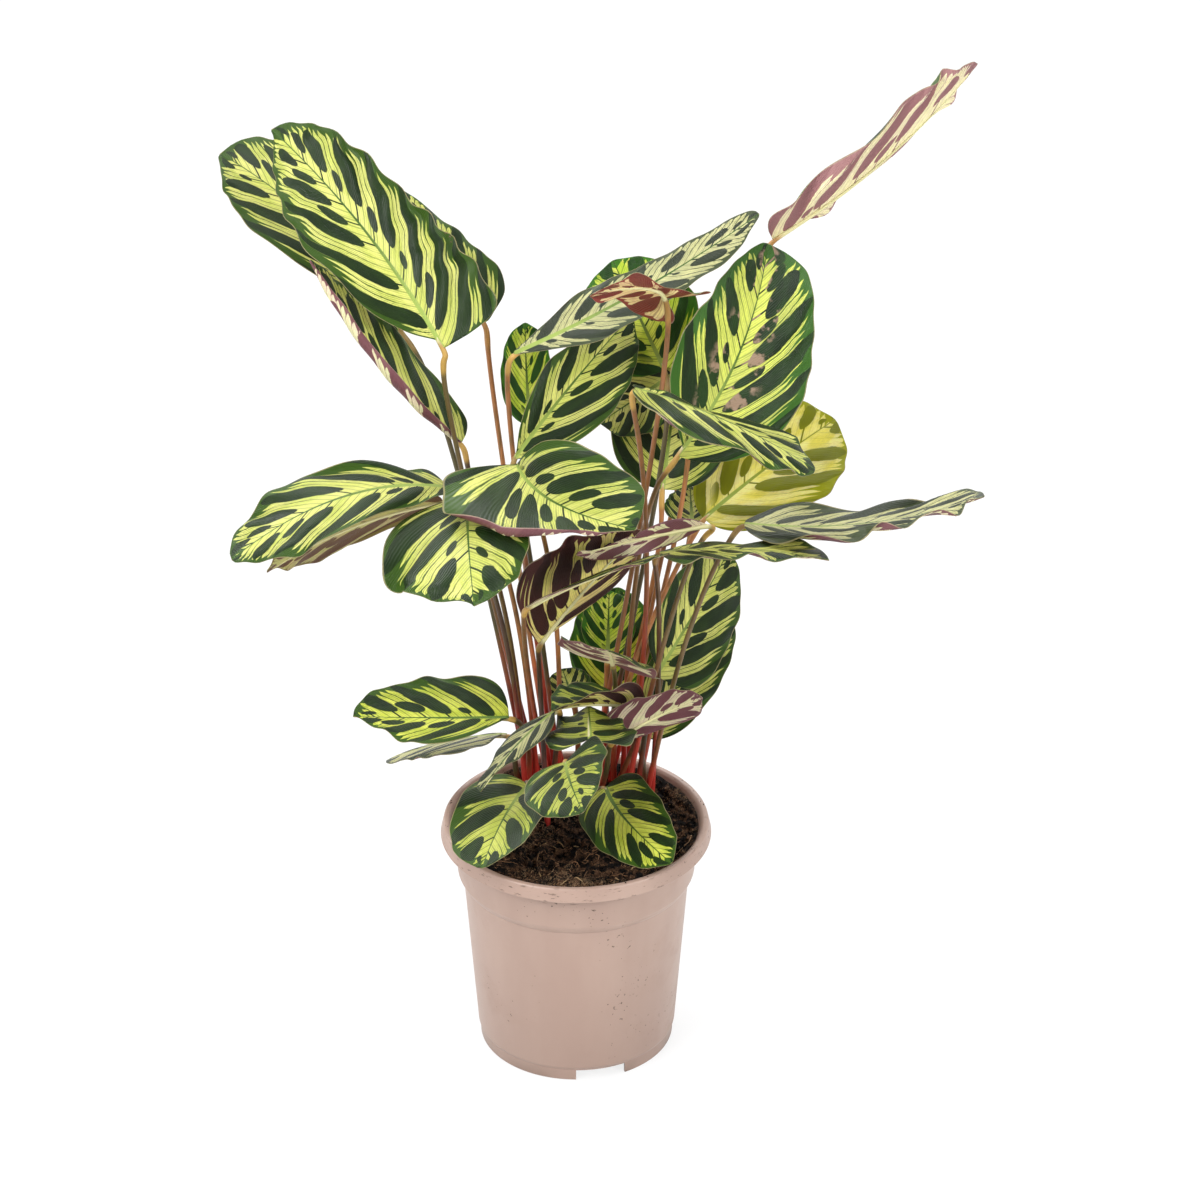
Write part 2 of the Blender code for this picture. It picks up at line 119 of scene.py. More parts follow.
class Value:
    """An output socket that sums, products and comparisons can be written with.

    A comparison is 1 where it holds and 0 elsewhere.
    """

    __add__, __sub__, __mul__ = operator("ADD"), operator("SUBTRACT"), operator("MULTIPLY")
    __truediv__, __pow__, __abs__ = operator("DIVIDE"), operator("POWER"), operator("ABSOLUTE")
    __gt__, __lt__ = operator("GREATER_THAN"), operator("LESS_THAN")
    max, root, fraction = operator("MAXIMUM"), operator("SQRT"), operator("FRACT")
    nearest, whole = operator("ROUND"), operator("FLOOR")

    def __init__(self, wire: "Wiring", socket: Socket) -> None:
        """Keep the socket and the wiring that it belongs to."""
        self.wire = wire
        self.socket = socket

    def share_of(self, total: object) -> "Value":
        """This value over another, held between 0 and 1."""
        return self.wire.math("DIVIDE", self, total, clamp=True)

    def __rsub__(self, other: object) -> "Value":
        """A number less this value."""
        return self.wire.math("SUBTRACT", other, self)


class Wiring:
    """A short way to add and join nodes in one shader or geometry tree."""

    def __init__(self, tree: bpy.types.NodeTree) -> None:
        """Keep the tree that the nodes go into."""
        self.tree = tree

    def add(self, kind: str, inputs: Inputs | None = None, **settings: object) -> Node:
        """Add a node.

        Args:
            kind: The node's type name.
            inputs: What its inputs are fed with, by their names or numbers.
            **settings: Properties to set on it.

        Returns:
            The new node.
        """
        node = self.tree.nodes.new(kind)
        for name, value in settings.items():
            setattr(node, name, value)
        for key, value in (inputs or {}).items():
            self.feed(node.inputs[key], value)
        return node

    def feed(self, socket: Socket, value: object) -> None:
        """Join an output to a socket, or set the socket's own value.

        Args:
            socket: The input.
            value: A Value, an output or a plain value.
        """
        value = getattr(value, "socket", value)
        if isinstance(value, bpy.types.NodeSocket):
            self.tree.links.new(value, socket)
        elif isinstance(value, tuple) and len(value) == 3 and socket.type == "RGBA":
            socket.default_value = (*value, 1.0)
        else:
            socket.default_value = value

    def read(self, kind: str, output: str | int = 0, inputs: Inputs | None = None,
             **settings: object) -> Value:
        """One output of a new node."""
        return Value(self, self.add(kind, inputs, **settings).outputs[output])

    def math(self, operation: str, first: object, second: object, clamp: bool = False) -> Value:
        """A Math node's result, held between 0 and 1 where it is clamped."""
        return self.read("ShaderNodeMath", 0, {0: first, 1: second}, operation=operation,
                         use_clamp=clamp)

    def ramp(self, value: object, low: float, high: float, out_low: float = 0.0,
             out_high: float = 1.0) -> Value:
        """A smooth step of a value between two limits.

        Args:
            value: The value or socket that is read.
            low: Where the step starts.
            high: Where the step ends.
            out_low: The result at the start.
            out_high: The result at the end.

        Returns:
            The stepped value.
        """
        return self.read("ShaderNodeMapRange", "Result", {
            "Value": value, "From Min": low, "From Max": high, "To Min": out_low,
            "To Max": out_high}, interpolation_type="SMOOTHSTEP")

    def blend(self, share: object, first: object, second: object, kind: str = "MIX") -> Value:
        """Two colours mixed by a share of the second, in a blend type."""
        return self.read("ShaderNodeMix", 2, {0: share, 6: first, 7: second}, data_type="RGBA",
                         blend_type=kind)

    def noise(self, vector: Value, scale: object, detail: float = 2.0,
              rough: float = 0.5) -> Value:
        """A noise texture's value at a vector, about 0.5 on average."""
        return self.read("ShaderNodeTexNoise", 0, {
            "Vector": vector, "Scale": scale, "Detail": detail, "Roughness": rough})

    def vector(self, x: object, y: object, z: object = 0.0) -> Value:
        """Three values joined into a vector."""
        return self.read("ShaderNodeCombineXYZ", 0, {0: x, 1: y, 2: z})

    def split(self, vector: object) -> tuple[Value, Value, Value]:
        """The three parts of a vector."""
        outputs = self.add("ShaderNodeSeparateXYZ", {0: vector}).outputs
        return tuple(Value(self, output) for output in outputs)

    def stretch(self, vector: Value, *scales: float) -> Value:
        """A vector with each of its three parts at its own scale."""
        return self.vector(*[part * scale for part, scale in zip(self.split(vector), scales)])

    def dice(self, x: Value, y: object, z: object) -> tuple[Value, Value, Value]:
        """Three random values from 0 to 1 for three numbers, which count to the thousandth."""
        steady = self.vector(*[self.math("MULTIPLY", n, 1000.0).nearest() for n in (x, y, z)])
        return self.split(self.read("ShaderNodeTexWhiteNoise", "Color", {"Vector": steady}))

    def point(self) -> Value:
        """The point on the object, in metres."""
        return self.read("ShaderNodeTexCoord", "Object")

    def rays(self) -> tuple[Value, Value]:
        """Masks of the rays that show the background.

        Returns:
            The camera's own rays, and those with the mirrored and transmitted ones added.
        """
        path = self.add("ShaderNodeLightPath").outputs
        camera, glossy, clear = [Value(self, path[f"Is {kind} Ray"])
                                 for kind in ("Camera", "Glossy", "Transmission")]
        return camera, camera.max(glossy.max(clear))


class NodeGroup:
    """A node tree with named inputs and outputs, which are made before its nodes."""

    def __init__(self, name: str, kind: str, inputs: dict[str, tuple[str, object]],
                 outputs: dict[str, str]) -> None:
        """Make the tree and its sockets.

        Args:
            name: The tree's name.
            kind: The tree's type, "Shader" or "Geometry".
            inputs: Each input's name with its socket kind and starting value.
            outputs: Each output's name and socket kind.
        """
        self.tree = bpy.data.node_groups.new(name, f"{kind}NodeTree")
        self.keys: dict[str, str] = {}
        new_socket = self.tree.interface.new_socket
        for label, (sort, value) in inputs.items():
            socket = new_socket(label, in_out="INPUT", socket_type=f"NodeSocket{sort}")
            if value is not None:
                socket.default_value = value
            self.keys[label] = socket.identifier
        for label, sort in outputs.items():
            new_socket(label, in_out="OUTPUT", socket_type=f"NodeSocket{sort}")
        self.wire = Wiring(self.tree)
        self.source = {socket.name: Value(self.wire, socket)
                       for socket in self.wire.add("NodeGroupInput").outputs}
        self.sink = self.wire.add("NodeGroupOutput").inputs


class ShaderGroup(NodeGroup):
    """A shader node group whose inputs are all numbers."""

    def __init__(self, name: str, inputs: dict[str, float], outputs: tuple[str, ...]) -> None:
        """Make the group from each input's name and starting value and each output's name."""
        numbers = {label: ("Float", value) for label, value in inputs.items()}
        super().__init__(name, "Shader", numbers, dict.fromkeys(outputs, "Float"))

    def put_out(self, *values: Value) -> None:
        """Feed the group's outputs, in their order."""
        for socket, value in zip(self.sink, values):
            self.wire.feed(socket, value)

    def place(self, wire: Wiring, **values: object) -> dict[str, Value]:
        """Add the group to a material.

        Args:
            wire: The material's wiring.
            **values: Values or sockets for the inputs, with _ for each space in a name.

        Returns:
            The group's outputs by name.
        """
        node = wire.add("ShaderNodeGroup", node_tree=self.tree)
        for name, value in labelled(values).items():
            wire.feed(node.inputs[name], value)
        return {socket.name: Value(wire, socket) for socket in node.outputs}


class GeometryTree(NodeGroup):
    """A geometry node tree that is run once on a mesh."""

    def __init__(self, name: str, inputs: dict[str, tuple[str, object]]) -> None:
        """Make the tree from each input's name with its socket kind and starting value."""
        super().__init__(name, "Geometry", {"Geometry": ("Geometry", None), **inputs},
                         {"Geometry": "Geometry"})

    def then(self, kind: str, geometry: object, slot: str = "Geometry",
             **values: object) -> Socket:
        """Add a node to a chain of geometry.

        Args:
            kind: The node's type name.
            geometry: What goes into it.
            slot: The name of its geometry input.
            **values: Values or sockets for its other inputs, with _ for each space.

        Returns:
            The node's first output.
        """
        return self.wire.add(kind, {slot: geometry, **labelled(values)}).outputs[0]

    def finish(self, geometry: Socket) -> None:
        """End the tree in Realize Instances and Set Material.

        Args:
            geometry: The geometry that it puts out.
        """
        real = self.then("GeometryNodeRealizeInstances", geometry)
        done = self.then("GeometryNodeSetMaterial", real, Material=self.source["Material"])
        self.wire.feed(self.sink[0], done)

    def run(self, name: str, base: bpy.types.Mesh, **values: object) -> bpy.types.Mesh:
        """Run the tree on a mesh.

        Args:
            name: The new mesh's name.
            base: The mesh that goes in.
            **values: The tree's inputs, with _ for each space.

        Returns:
            The plain mesh that comes out.
        """
        carrier = new_object(f"{name}_carrier", base)
        modifier = carrier.modifiers.new(self.tree.name, "NODES")
        modifier.node_group = self.tree
        for label, value in labelled(values).items():
            modifier[self.keys[label]] = value
        mesh = evaluated_mesh(name, carrier, True)
        bpy.data.objects.remove(carrier, do_unlink=True)
        bpy.data.meshes.remove(base)
        return mesh


def tube_tree() -> GeometryTree:
    """Tubes along the edges of a mesh, as thick as its "radius" attribute says.

    Returns:
        The tree.
    """
    tree = GeometryTree("tube_along_path", {"Sides": ("Int", 10), "Material": ("Material", None)})
    wire = tree.wire
    path = tree.then("GeometryNodeMeshToCurve", tree.source["Geometry"], "Mesh")
    radius = wire.add("GeometryNodeInputNamedAttribute", {"Name": "radius"}, data_type="FLOAT")
    ring = wire.add("GeometryNodeCurvePrimitiveCircle", {
        "Resolution": tree.source["Sides"], "Radius": 1.0}, mode="RADIUS")
    tube = tree.then("GeometryNodeCurveToMesh", path, "Curve", Profile_Curve=ring.outputs[0],
                     Scale=radius.outputs[0], Fill_Caps=True)
    tree.finish(tree.then("GeometryNodeSetShadeSmooth", tube))
    return tree


def scatter_tree() -> GeometryTree:
    """Clods strewn over a surface, each turned and sized at random, more small than large.

    Returns:
        The tree.
    """
    tree = GeometryTree("strewn_clods", {
        "Density": ("Float", 60000.0), "Smallest": ("Float", 0.0008), "Largest": ("Float", 0.003),
        "Seed": ("Int", 1), "Clod": ("Object", None), "Material": ("Material", None)})
    wire, source = tree.wire, tree.source
    strew = wire.add("GeometryNodeDistributePointsOnFaces", {
        "Mesh": source["Geometry"], "Density": source["Density"], "Seed": source["Seed"]},
        distribute_method="RANDOM")
    clod = wire.add("GeometryNodeObjectInfo", {"Object": source["Clod"]},
                    transform_space="ORIGINAL")
    turn = wire.add("FunctionNodeRandomValue", {
        "Min": (0.0, 0.0, 0.0), "Max": (math.tau, math.tau, math.tau), "Seed": source["Seed"]},
        data_type="FLOAT_VECTOR")
    roll = wire.add("FunctionNodeRandomValue", {"Seed": source["Seed"] + 7.0}, data_type="FLOAT")
    skew = wire.math("POWER", roll.outputs[1], 2.6)
    size = skew * (source["Largest"] - source["Smallest"]) + source["Smallest"]
    tree.finish(tree.then("GeometryNodeInstanceOnPoints", strew.outputs["Points"], "Points",
                          Instance=clod.outputs["Geometry"], Rotation=turn.outputs[0], Scale=size))
    return tree


# ---------------------------------------------------------------------------------------------
# Finishes


@dataclass(frozen=True)
class VeinPoint:
    """Where a point lies on a blade: along it in oval spacings, on which half, on which leaf.

    The last two are its shares from the midrib to the edge and from the neck to the tip.
    """

    phase: Value
    side: Value
    own: Value
    across: Value
    start: Value


@dataclass(frozen=True)
class PeacockPattern:
    """The markings that every blade carries, read from its vein coordinates.

    The point attribute "vein" holds how many oval spacings a point lies along, how far it is
    across from the midrib to the edge, and its distance from the midrib in centimetres.
    """

    spacings: float = 6.0
    soft: float = 0.014
    small_shift: float = 0.5
    small_kept: float = 0.34
    fingers: float = 5.0
    threads: float = 15.0
    tip_run: float = 3.6
    closed_from: float = 0.985

    def large_ovals(self, wire: Wiring, at: VeinPoint, size: Value) -> Value:
        """Large ovals, one to a spacing: long stripes at the base, short paddles at the tip.

        Args:
            wire: The group's wiring.
            at: The point on the blade.
            size: The ovals' half width, in spacings.

        Returns:
            Their mask.
        """
        number = at.phase.nearest()
        rolls = wire.dice(number, at.side, at.own)
        begin = wire.ramp(at.start, 0.02, 0.5, 0.02, 0.13) + rolls[0] * 0.09
        end = wire.ramp(at.start, 0.22, 1.0, 1.18, 0.62) - rolls[1] * 0.16
        reach = (at.across - begin).share_of(end - begin)
        half = reach ** 0.38 * (1.0 - reach) ** 0.62 * (rolls[2] * 0.5 + 1.5) * size
        away = abs(at.phase - number)
        stem = wire.ramp(away, 0.034, 0.018) * (at.across < end)
        return wire.ramp(half - away, -self.soft, self.soft).max(stem)

    def small_ovals(self, wire: Wiring, at: VeinPoint, size: Value) -> Value:
        """Small ovals between the large ones, close to the midrib, each with a thin stalk.

        Args:
            wire: The group's wiring.
            at: The point on the blade.
            size: The ovals' half width, in spacings.

        Returns:
            Their mask.
        """
        between = at.phase + self.small_shift
        number = between.nearest()
        away = abs(between - number)
        rolls = wire.dice(number, at.side + 5.0, at.own)
        begin = rolls[0] * 0.06 + 0.09
        long = rolls[1] * 0.24 + 0.13
        reach = (at.across - begin).share_of(long)
        half = (reach * (1.0 - reach)) ** 0.45 * ((rolls[1] + rolls[2]) * 0.9 + 0.6) * size
        stalk = (at.across < begin + long * 0.5) * wire.ramp(away, 0.030, 0.014)
        there = wire.ramp(at.start, 0.04, 0.12) * (rolls[2] > self.small_kept)
        return wire.ramp(half - away, -self.soft, self.soft).max(stalk) * there

    def build(self) -> ShaderGroup:
        """Build the group.

        Returns:
            The group with masks for the ovals, the margin, the fine veins, the grain between
            them, the midrib and the rim, the blade's fine relief, and its own places and tone.
        """
        group = ShaderGroup(
            "peacock_pattern",
            {"Oval width": 0.29, "Small width": 0.18, "Margin": 0.15, "Spacings": self.spacings},
            ("Oval", "Edge", "Line", "Grain", "Rib", "Rim", "Height", "Along", "Across", "Tone"))
        wire = group.wire
        vein = wire.read("ShaderNodeAttribute", "Vector", attribute_name="vein")
        along, across, off = wire.split(vein)
        own = wire.read("ShaderNodeAttribute", "Fac", attribute_name="seed")
        length, breadth, _ = wire.split(wire.read("ShaderNodeUVMap", uv_map="Blade"))

        # The two halves of a blade alternate, and no oval edge is quite straight.
        side = breadth > 0.5
        wobble_at = wire.vector(along * 2.2, across * 5.0, own * 37.0 + side)
        wobble = wire.noise(wobble_at, 1.0, 3.0, 0.65) - 0.5
        phase = along + side * SIDE_SHIFT + wobble * wire.ramp(across, 0.08, 0.4, 0.0, 0.11)
        start = along.share_of(group.source["Spacings"])
        at = VeinPoint(phase, side, own, across, start)
        oval = self.large_ovals(wire, at, group.source["Oval width"]).max(
            self.small_ovals(wire, at, group.source["Small width"]))

        # The margin: the fine veins widen outwards and leave pale fingers, each of its own length.
        # It runs on round the tip, where the distance from the tip counts as that from the edge.
        brim = across.max(1.0 - (1.0 - length) * self.tip_run)
        lane = phase * self.fingers
        finger = lane.whole()
        inside = 1.0 - abs(lane - finger - 0.5) * 2.0
        rolls = wire.dice(finger, side + 11.0, own)
        margin = group.source["Margin"]
        stop = self.closed_from - margin * (rolls[0] * 1.1 + 0.30)
        taper = margin * 1.7 + 0.12
        gap = (brim - (stop - taper)).share_of(taper) ** 2.2 * 1.25 - 0.08
        edge = wire.ramp(gap - inside, -0.10, 0.10).max(wire.ramp(brim, 0.94, 0.97))

        # Side veins run on inwards from between the fingers, with finer ones and grain between.
        thread = phase * self.threads + 0.5
        off_thread = abs(thread.fraction() - 0.5)
        fade = wire.noise(wire.vector(thread.whole(), across * 2.5, own), 1.3, 1.0)
        fine = wire.ramp(off_thread, 0.24, 0.06, 0.0, 0.7) * wire.ramp(fade, 0.28, 0.6)
        broad = wire.ramp(inside, 0.34, 0.10) * wire.ramp(fade, 0.10, 0.42)
        line = fine.max(broad) * wire.ramp(across, 0.05, 0.6, 0.5, 1.0)
        grain = wire.noise(wire.vector(phase * 14.0, across * 42.0, own), 1.0, 2.0, 0.6)

        # The midrib is broad and light at the base and a thin dark line at the tip.
        rib = wire.ramp(wire.ramp(length, 0.0, 0.85, 0.135, 0.032) - off, -0.02, 0.02)
        rim = wire.ramp(brim, 0.982, 0.992)
        relief = wire.ramp(off_thread, 0.5, 0.0) * 0.35 + oval * 0.25 + grain * 0.25
        tone = wire.noise(wobble_at, 0.7, 2.0)
        group.put_out(oval, edge, line, grain, rib, rim, relief, length, across, tone)
        return group


def speckle() -> ShaderGroup:
    """Specks of dirt in patches, smears and a fine grain.

    Returns:
        The group with a mask for each.
    """
    group = ShaderGroup("speckle", {"Scale": 260.0, "Cover": 0.32, "Smear": 0.5},
                        ("Speck", "Smear", "Grain"))
    wire, source = group.wire, group.source
    point = wire.point()
    cover = wire.ramp(wire.noise(point, 14.0, 3.0, 0.6), 0.42, 0.7) * source["Cover"]
    level = 0.80 - cover * 0.4
    group.put_out(wire.ramp(wire.noise(point, source["Scale"], 2.0, 0.55) - level, 0.0, 0.03),
                  wire.ramp(wire.noise(point, 30.0, 5.0, 0.65), 0.45, 0.75) * source["Smear"],
                  wire.noise(point, 2200.0, 2.0, 0.5))
    return group


class Finish:
    """What every finish shares: a named material with one Principled shader."""

    def __init__(self, name: str) -> None:
        """Make the material and keep its wiring, shader and output.

        Args:
            name: The material's name.
        """
        self.material = bpy.data.materials.new(name)
        self.material.use_nodes = True
        self.wire = Wiring(self.material.node_tree)
        self.shader = self.material.node_tree.nodes["Principled BSDF"]
        self.output = self.material.node_tree.nodes["Material Output"]

    def set(self, **values: object) -> None:
        """Set or join the shader's sockets, with _ for each space in a name."""
        for name, value in labelled(values).items():
            self.wire.feed(self.shader.inputs[name], value)

    def bump(self, height: Value, distance: float, strength: float) -> None:
        """Feed the shader's normal from a height, in metres at full strength."""
        inputs = {"Strength": strength, "Distance": distance, "Height": height}
        self.set(Normal=self.wire.add("ShaderNodeBump", inputs).outputs[0])

    def mix_in(self, share: object, other: Node) -> None:
        """Mix a share of another shader's light into the surface."""
        mix = self.wire.read("ShaderNodeMixShader", 0, {
            0: share, 1: self.shader.outputs[0], 2: other.outputs[0]})
        self.wire.feed(self.output.inputs["Surface"], mix)


@dataclass(frozen=True)
class BladeFinish:
    """One side of a blade: its colours, its markings and its gloss."""

    name: str
    pale: Color
    pale_shift: Color
    dark: Color
    margin: Color
    rib_base: Color
    rib_tip: Color
    rim: Color
    line_share: float = 0.92
    oval_width: float = 0.31
    small_width: float = 0.18
    edge_width: float = 0.115
    roughness: float = 0.31
    gloss: float = 0.30
    clear: float = 0.24
    glow: Color = (1.5, 1.5, 0.35)
    scorch: float = 0.0
    scorched: Color = (0.40, 0.27, 0.185)

    def build(self, pattern: ShaderGroup) -> bpy.types.Material:
        """Build the material, with light that passes through the thin blade.

        Args:
            pattern: The group that draws the blade's markings.

        Returns:
            The finished material.
        """
        finish = Finish(self.name)
        wire = finish.wire
        marks = pattern.place(wire, Oval_width=self.oval_width, Small_width=self.small_width,
                              Margin=self.edge_width)
        field = wire.blend(wire.ramp(marks["Tone"], 0.35, 0.65), self.pale, self.pale_shift)
        shade = marks["Grain"] * 0.42 + 0.80
        field = wire.blend(1.0, field, wire.vector(shade, shade, shade), "MULTIPLY")
        vein = wire.blend(0.4, self.margin, self.dark)
        field = wire.blend(marks["Line"] * self.line_share, field, vein)
        color = wire.blend(marks["Edge"], field, self.margin)
        deep = wire.blend(wire.ramp(marks["Tone"], 0.3, 0.75), self.dark, self.margin)
        color = wire.blend(marks["Oval"], color, wire.blend(0.75, deep, self.dark))
        if self.scorch:
            patch = wire.noise(wire.point(), 95.0, 3.0, 0.55)
            burn = marks["Oval"] * wire.ramp(patch, 0.50, 0.60)
            burn = burn * wire.ramp(marks["Across"], 0.50, 0.32)
            color = wire.blend(burn * self.scorch, color, self.scorched)
        rib = wire.blend(wire.ramp(marks["Along"], 0.1, 0.6), self.rib_base, self.rib_tip)
        color = wire.blend(marks["Rib"], color, rib)
        color = wire.blend(marks["Rim"] * 0.8, color, self.rim)
        finish.set(Base_Color=color, Roughness=marks["Grain"] * 0.14 + (self.roughness - 0.06),
                   Specular_IOR_Level=self.gloss)
        finish.bump(marks["Height"], 0.0007, 0.7)
        through = wire.blend(0.5, color, wire.blend(1.0, color, self.glow, "MULTIPLY"))
        finish.mix_in(self.clear, wire.add("ShaderNodeBsdfTranslucent", {"Color": through}))
        return finish.material


@dataclass(frozen=True)
class PetioleFinish:
    """The petioles: red at the soil, brown and ochre above, yellow at the swollen joint."""

    name: str = "petiole_skin"
    base: Color = (0.42, 0.03, 0.02)
    brown: Color = (0.062, 0.025, 0.017)
    ochre: Color = (0.38, 0.15, 0.045)
    olive: Color = (0.085, 0.075, 0.025)
    joint: Color = (0.50, 0.30, 0.07)
    rib: Color = (0.62, 0.58, 0.30)

    def build(self) -> bpy.types.Material:
        """Build the material from the share along the petiole and the leaf's own number.

        Returns:
            The finished material.
        """
        finish = Finish(self.name)
        wire = finish.wire
        share = wire.read("ShaderNodeAttribute", "Fac", attribute_name="share")
        roll = wire.dice(wire.read("ShaderNodeAttribute", "Fac", attribute_name="seed"), 3.0, 7.0)
        point = wire.point()
        streak = wire.noise(wire.stretch(point, 420.0, 420.0, 30.0), 1.0, 3.0, 0.6)
        mottle = wire.noise(point, 60.0, 3.0, 0.6)
        color = wire.blend(wire.ramp(roll[0], 0.32, 0.7), self.brown, self.ochre)
        color = wire.blend(wire.ramp(roll[1], 0.55, 0.8) * 0.8, color, self.olive)
        color = wire.blend(wire.ramp(streak, 0.42, 0.7) * 0.55, color, self.olive)
        color = wire.blend(wire.ramp(mottle, 0.5, 0.75) * 0.4, color, self.brown)
        height = ((mottle - 0.5) * 0.25 + share) / (roll[2] * 0.35 + 0.28)
        color = wire.blend(wire.ramp(height, 1.15, 0.1), color, self.base)
        joint = wire.ramp(share, 0.935, 0.955) * wire.ramp(share, 1.03, 0.99)
        color = wire.blend(joint * wire.ramp(roll[2], 0.2, 0.6, 0.35, 0.9), color, self.joint)
        color = wire.blend(wire.ramp(share, 0.995, 1.03), color, self.rib)
        finish.set(Base_Color=color, Roughness=streak * 0.2 + 0.34)
        finish.bump(streak + mottle * 0.4, 0.0003, 0.5)
        return finish.material


@dataclass(frozen=True)
class PotFinish:
    """Satin taupe moulded plastic with specks, smears and scuffs of peat, painted shade that
    darkens it towards the foot, a dark band under the lip and dark patches on the foot ring.
    """

    name: str = "pot_plastic"
    body: Color = (0.332, 0.226, 0.182)
    worn: Color = (0.372, 0.261, 0.211)
    lower_shade: Color = (0.267, 0.181, 0.144)
    dirt: Color = (0.075, 0.045, 0.028)
    roughness: float = 0.36
    inside: float = 0.0783

    def build(self, specks: ShaderGroup) -> bpy.types.Material:
        """Build the material.

        Args:
            specks: The group that scatters dirt.

        Returns:
            The finished material.
        """
        finish = Finish(self.name)
        wire = finish.wire
        dirt = specks.place(wire, Scale=460.0, Cover=0.42, Smear=0.6)
        point = wire.point()
        x, y, z = wire.split(point)
        flow = wire.noise(wire.stretch(point, 26.0, 26.0, 5.0), 1.0, 4.0, 0.55)
        rubbed = wire.noise(wire.stretch(point, 130.0, 130.0, 520.0), 1.0, 5.0, 0.7)
        color = wire.blend(wire.ramp(flow, 0.3, 0.75), self.body, self.worn)
        # Painted shade: the body darkens towards the foot.
        color = wire.blend(wire.ramp(z, 0.11, 0.0, 0.0, 0.45), color, self.lower_shade)
        lip = wire.ramp(z, 0.1395, 0.1430) * wire.ramp(z, 0.1575, 0.1545, 0.35, 1.0)
        # The foot ring darkens in patches.
        foot = wire.ramp(z, 0.012, 0.0) * wire.ramp(flow, 0.35, 0.6)
        away = ((x - POT_CENTRE[0] * MM) ** 2.0 + (y - POT_CENTRE[1] * MM) ** 2.0).root()
        # A dark band runs all round under the lip and on the inside of the wall at the soil,
        # heavier where the smears lie.
        band = wire.ramp(z, 0.1535, 0.150) * wire.ramp(z, 0.143, 0.145) * (away < self.inside)
        for share in (lip * wire.ramp(rubbed, 0.57, 0.66, 0.0, 0.75), dirt["Smear"] * 0.035,
                      dirt["Speck"] * 0.85, foot * 0.35,
                      band * wire.ramp(dirt["Smear"], 0.0, 0.5, 0.3, 0.9)):
            color = wire.blend(share, color, self.dirt)
        finish.set(Base_Color=color,
                   Roughness=dirt["Smear"] * 0.3 + self.roughness + dirt["Grain"] * 0.06)
        finish.bump(dirt["Grain"] * 0.25 + dirt["Speck"], 0.0002, 0.5)
        return finish.material


@dataclass(frozen=True)
class PeatFinish:
    """Moist dark peat: near black between the brown clods, a dark deepened with painted shade,
    lighter brown on the dry crumbs, with pale bits.
    """

    name: str = "potting_soil"
    dark: Color = (0.0022, 0.0013, 0.0008)
    brown: Color = (0.062, 0.031, 0.016)
    dry: Color = (0.27, 0.155, 0.085)
    bits: Color = (0.28, 0.18, 0.10)
    roughness: float = 0.92

    def build(self, specks: ShaderGroup) -> bpy.types.Material:
        """Build the material.

        Args:
            specks: The group that scatters pale bits.

        Returns:
            The finished material.
        """
        finish = Finish(self.name)
        wire = finish.wire
        bits = specks.place(wire, Scale=900.0, Cover=0.8, Smear=1.0)
        clod = wire.noise(wire.point(), 150.0, 4.0, 0.65)
        fine = wire.noise(wire.point(), 900.0, 3.0, 0.7)
        # Painted shade: the peat between the brown clods is near black, darker than moist peat.
        color = wire.blend(wire.ramp(clod, 0.47, 0.60), self.dark, self.brown)
        crumbs = wire.ramp(fine, 0.5, 0.7) * wire.ramp(clod, 0.46, 0.6)
        color = wire.blend(crumbs * 0.7, color, self.dry)
        color = wire.blend(bits["Speck"] * 0.5, color, self.bits)
        finish.set(Base_Color=color, Roughness=self.roughness, Specular_IOR_Level=0.2)
        finish.bump(clod + fine * 0.4, 0.0015, 0.8)
        return finish.material


@dataclass(frozen=True)
class StrawFinish:
    """Dry straw and root fibres in the peat."""

    name: str = "peat_straw"
    light: Color = (0.50, 0.34, 0.17)
    dark: Color = (0.16, 0.085, 0.04)

    def build(self) -> bpy.types.Material:
        """Build the material.

        Returns:
            The finished material.
        """
        finish = Finish(self.name)
        wire = finish.wire
        streak = wire.noise(wire.point(), 800.0, 2.0)
        tone = wire.ramp(wire.noise(wire.point(), 70.0, 1.0), 0.4, 0.6)
        color = wire.blend(tone, self.light, self.dark)
        finish.set(Base_Color=wire.blend(streak * 0.4, color, self.dark), Roughness=0.8)
        finish.bump(streak, 0.0002, 0.5)
        return finish.material


GROWN_SIDE = BladeFinish(
    "leaf_upper_grown", pale=(0.68, 0.69, 0.20), pale_shift=(0.56, 0.61, 0.13),
    dark=(0.009, 0.023, 0.005), margin=(0.040, 0.092, 0.009), rib_base=(0.36, 0.47, 0.10),
    rib_tip=(0.05, 0.12, 0.015), rim=(0.38, 0.33, 0.16))
MAUVE_SIDE = BladeFinish(
    "leaf_under_mauve", pale=(0.74, 0.72, 0.42), pale_shift=(0.78, 0.66, 0.48),
    dark=(0.17, 0.062, 0.072), margin=(0.21, 0.085, 0.092), rib_base=(0.66, 0.62, 0.36),
    rib_tip=(0.40, 0.25, 0.20), rim=(0.42, 0.30, 0.24), roughness=0.42, line_share=0.5,
    oval_width=0.36, small_width=0.22, edge_width=0.07)


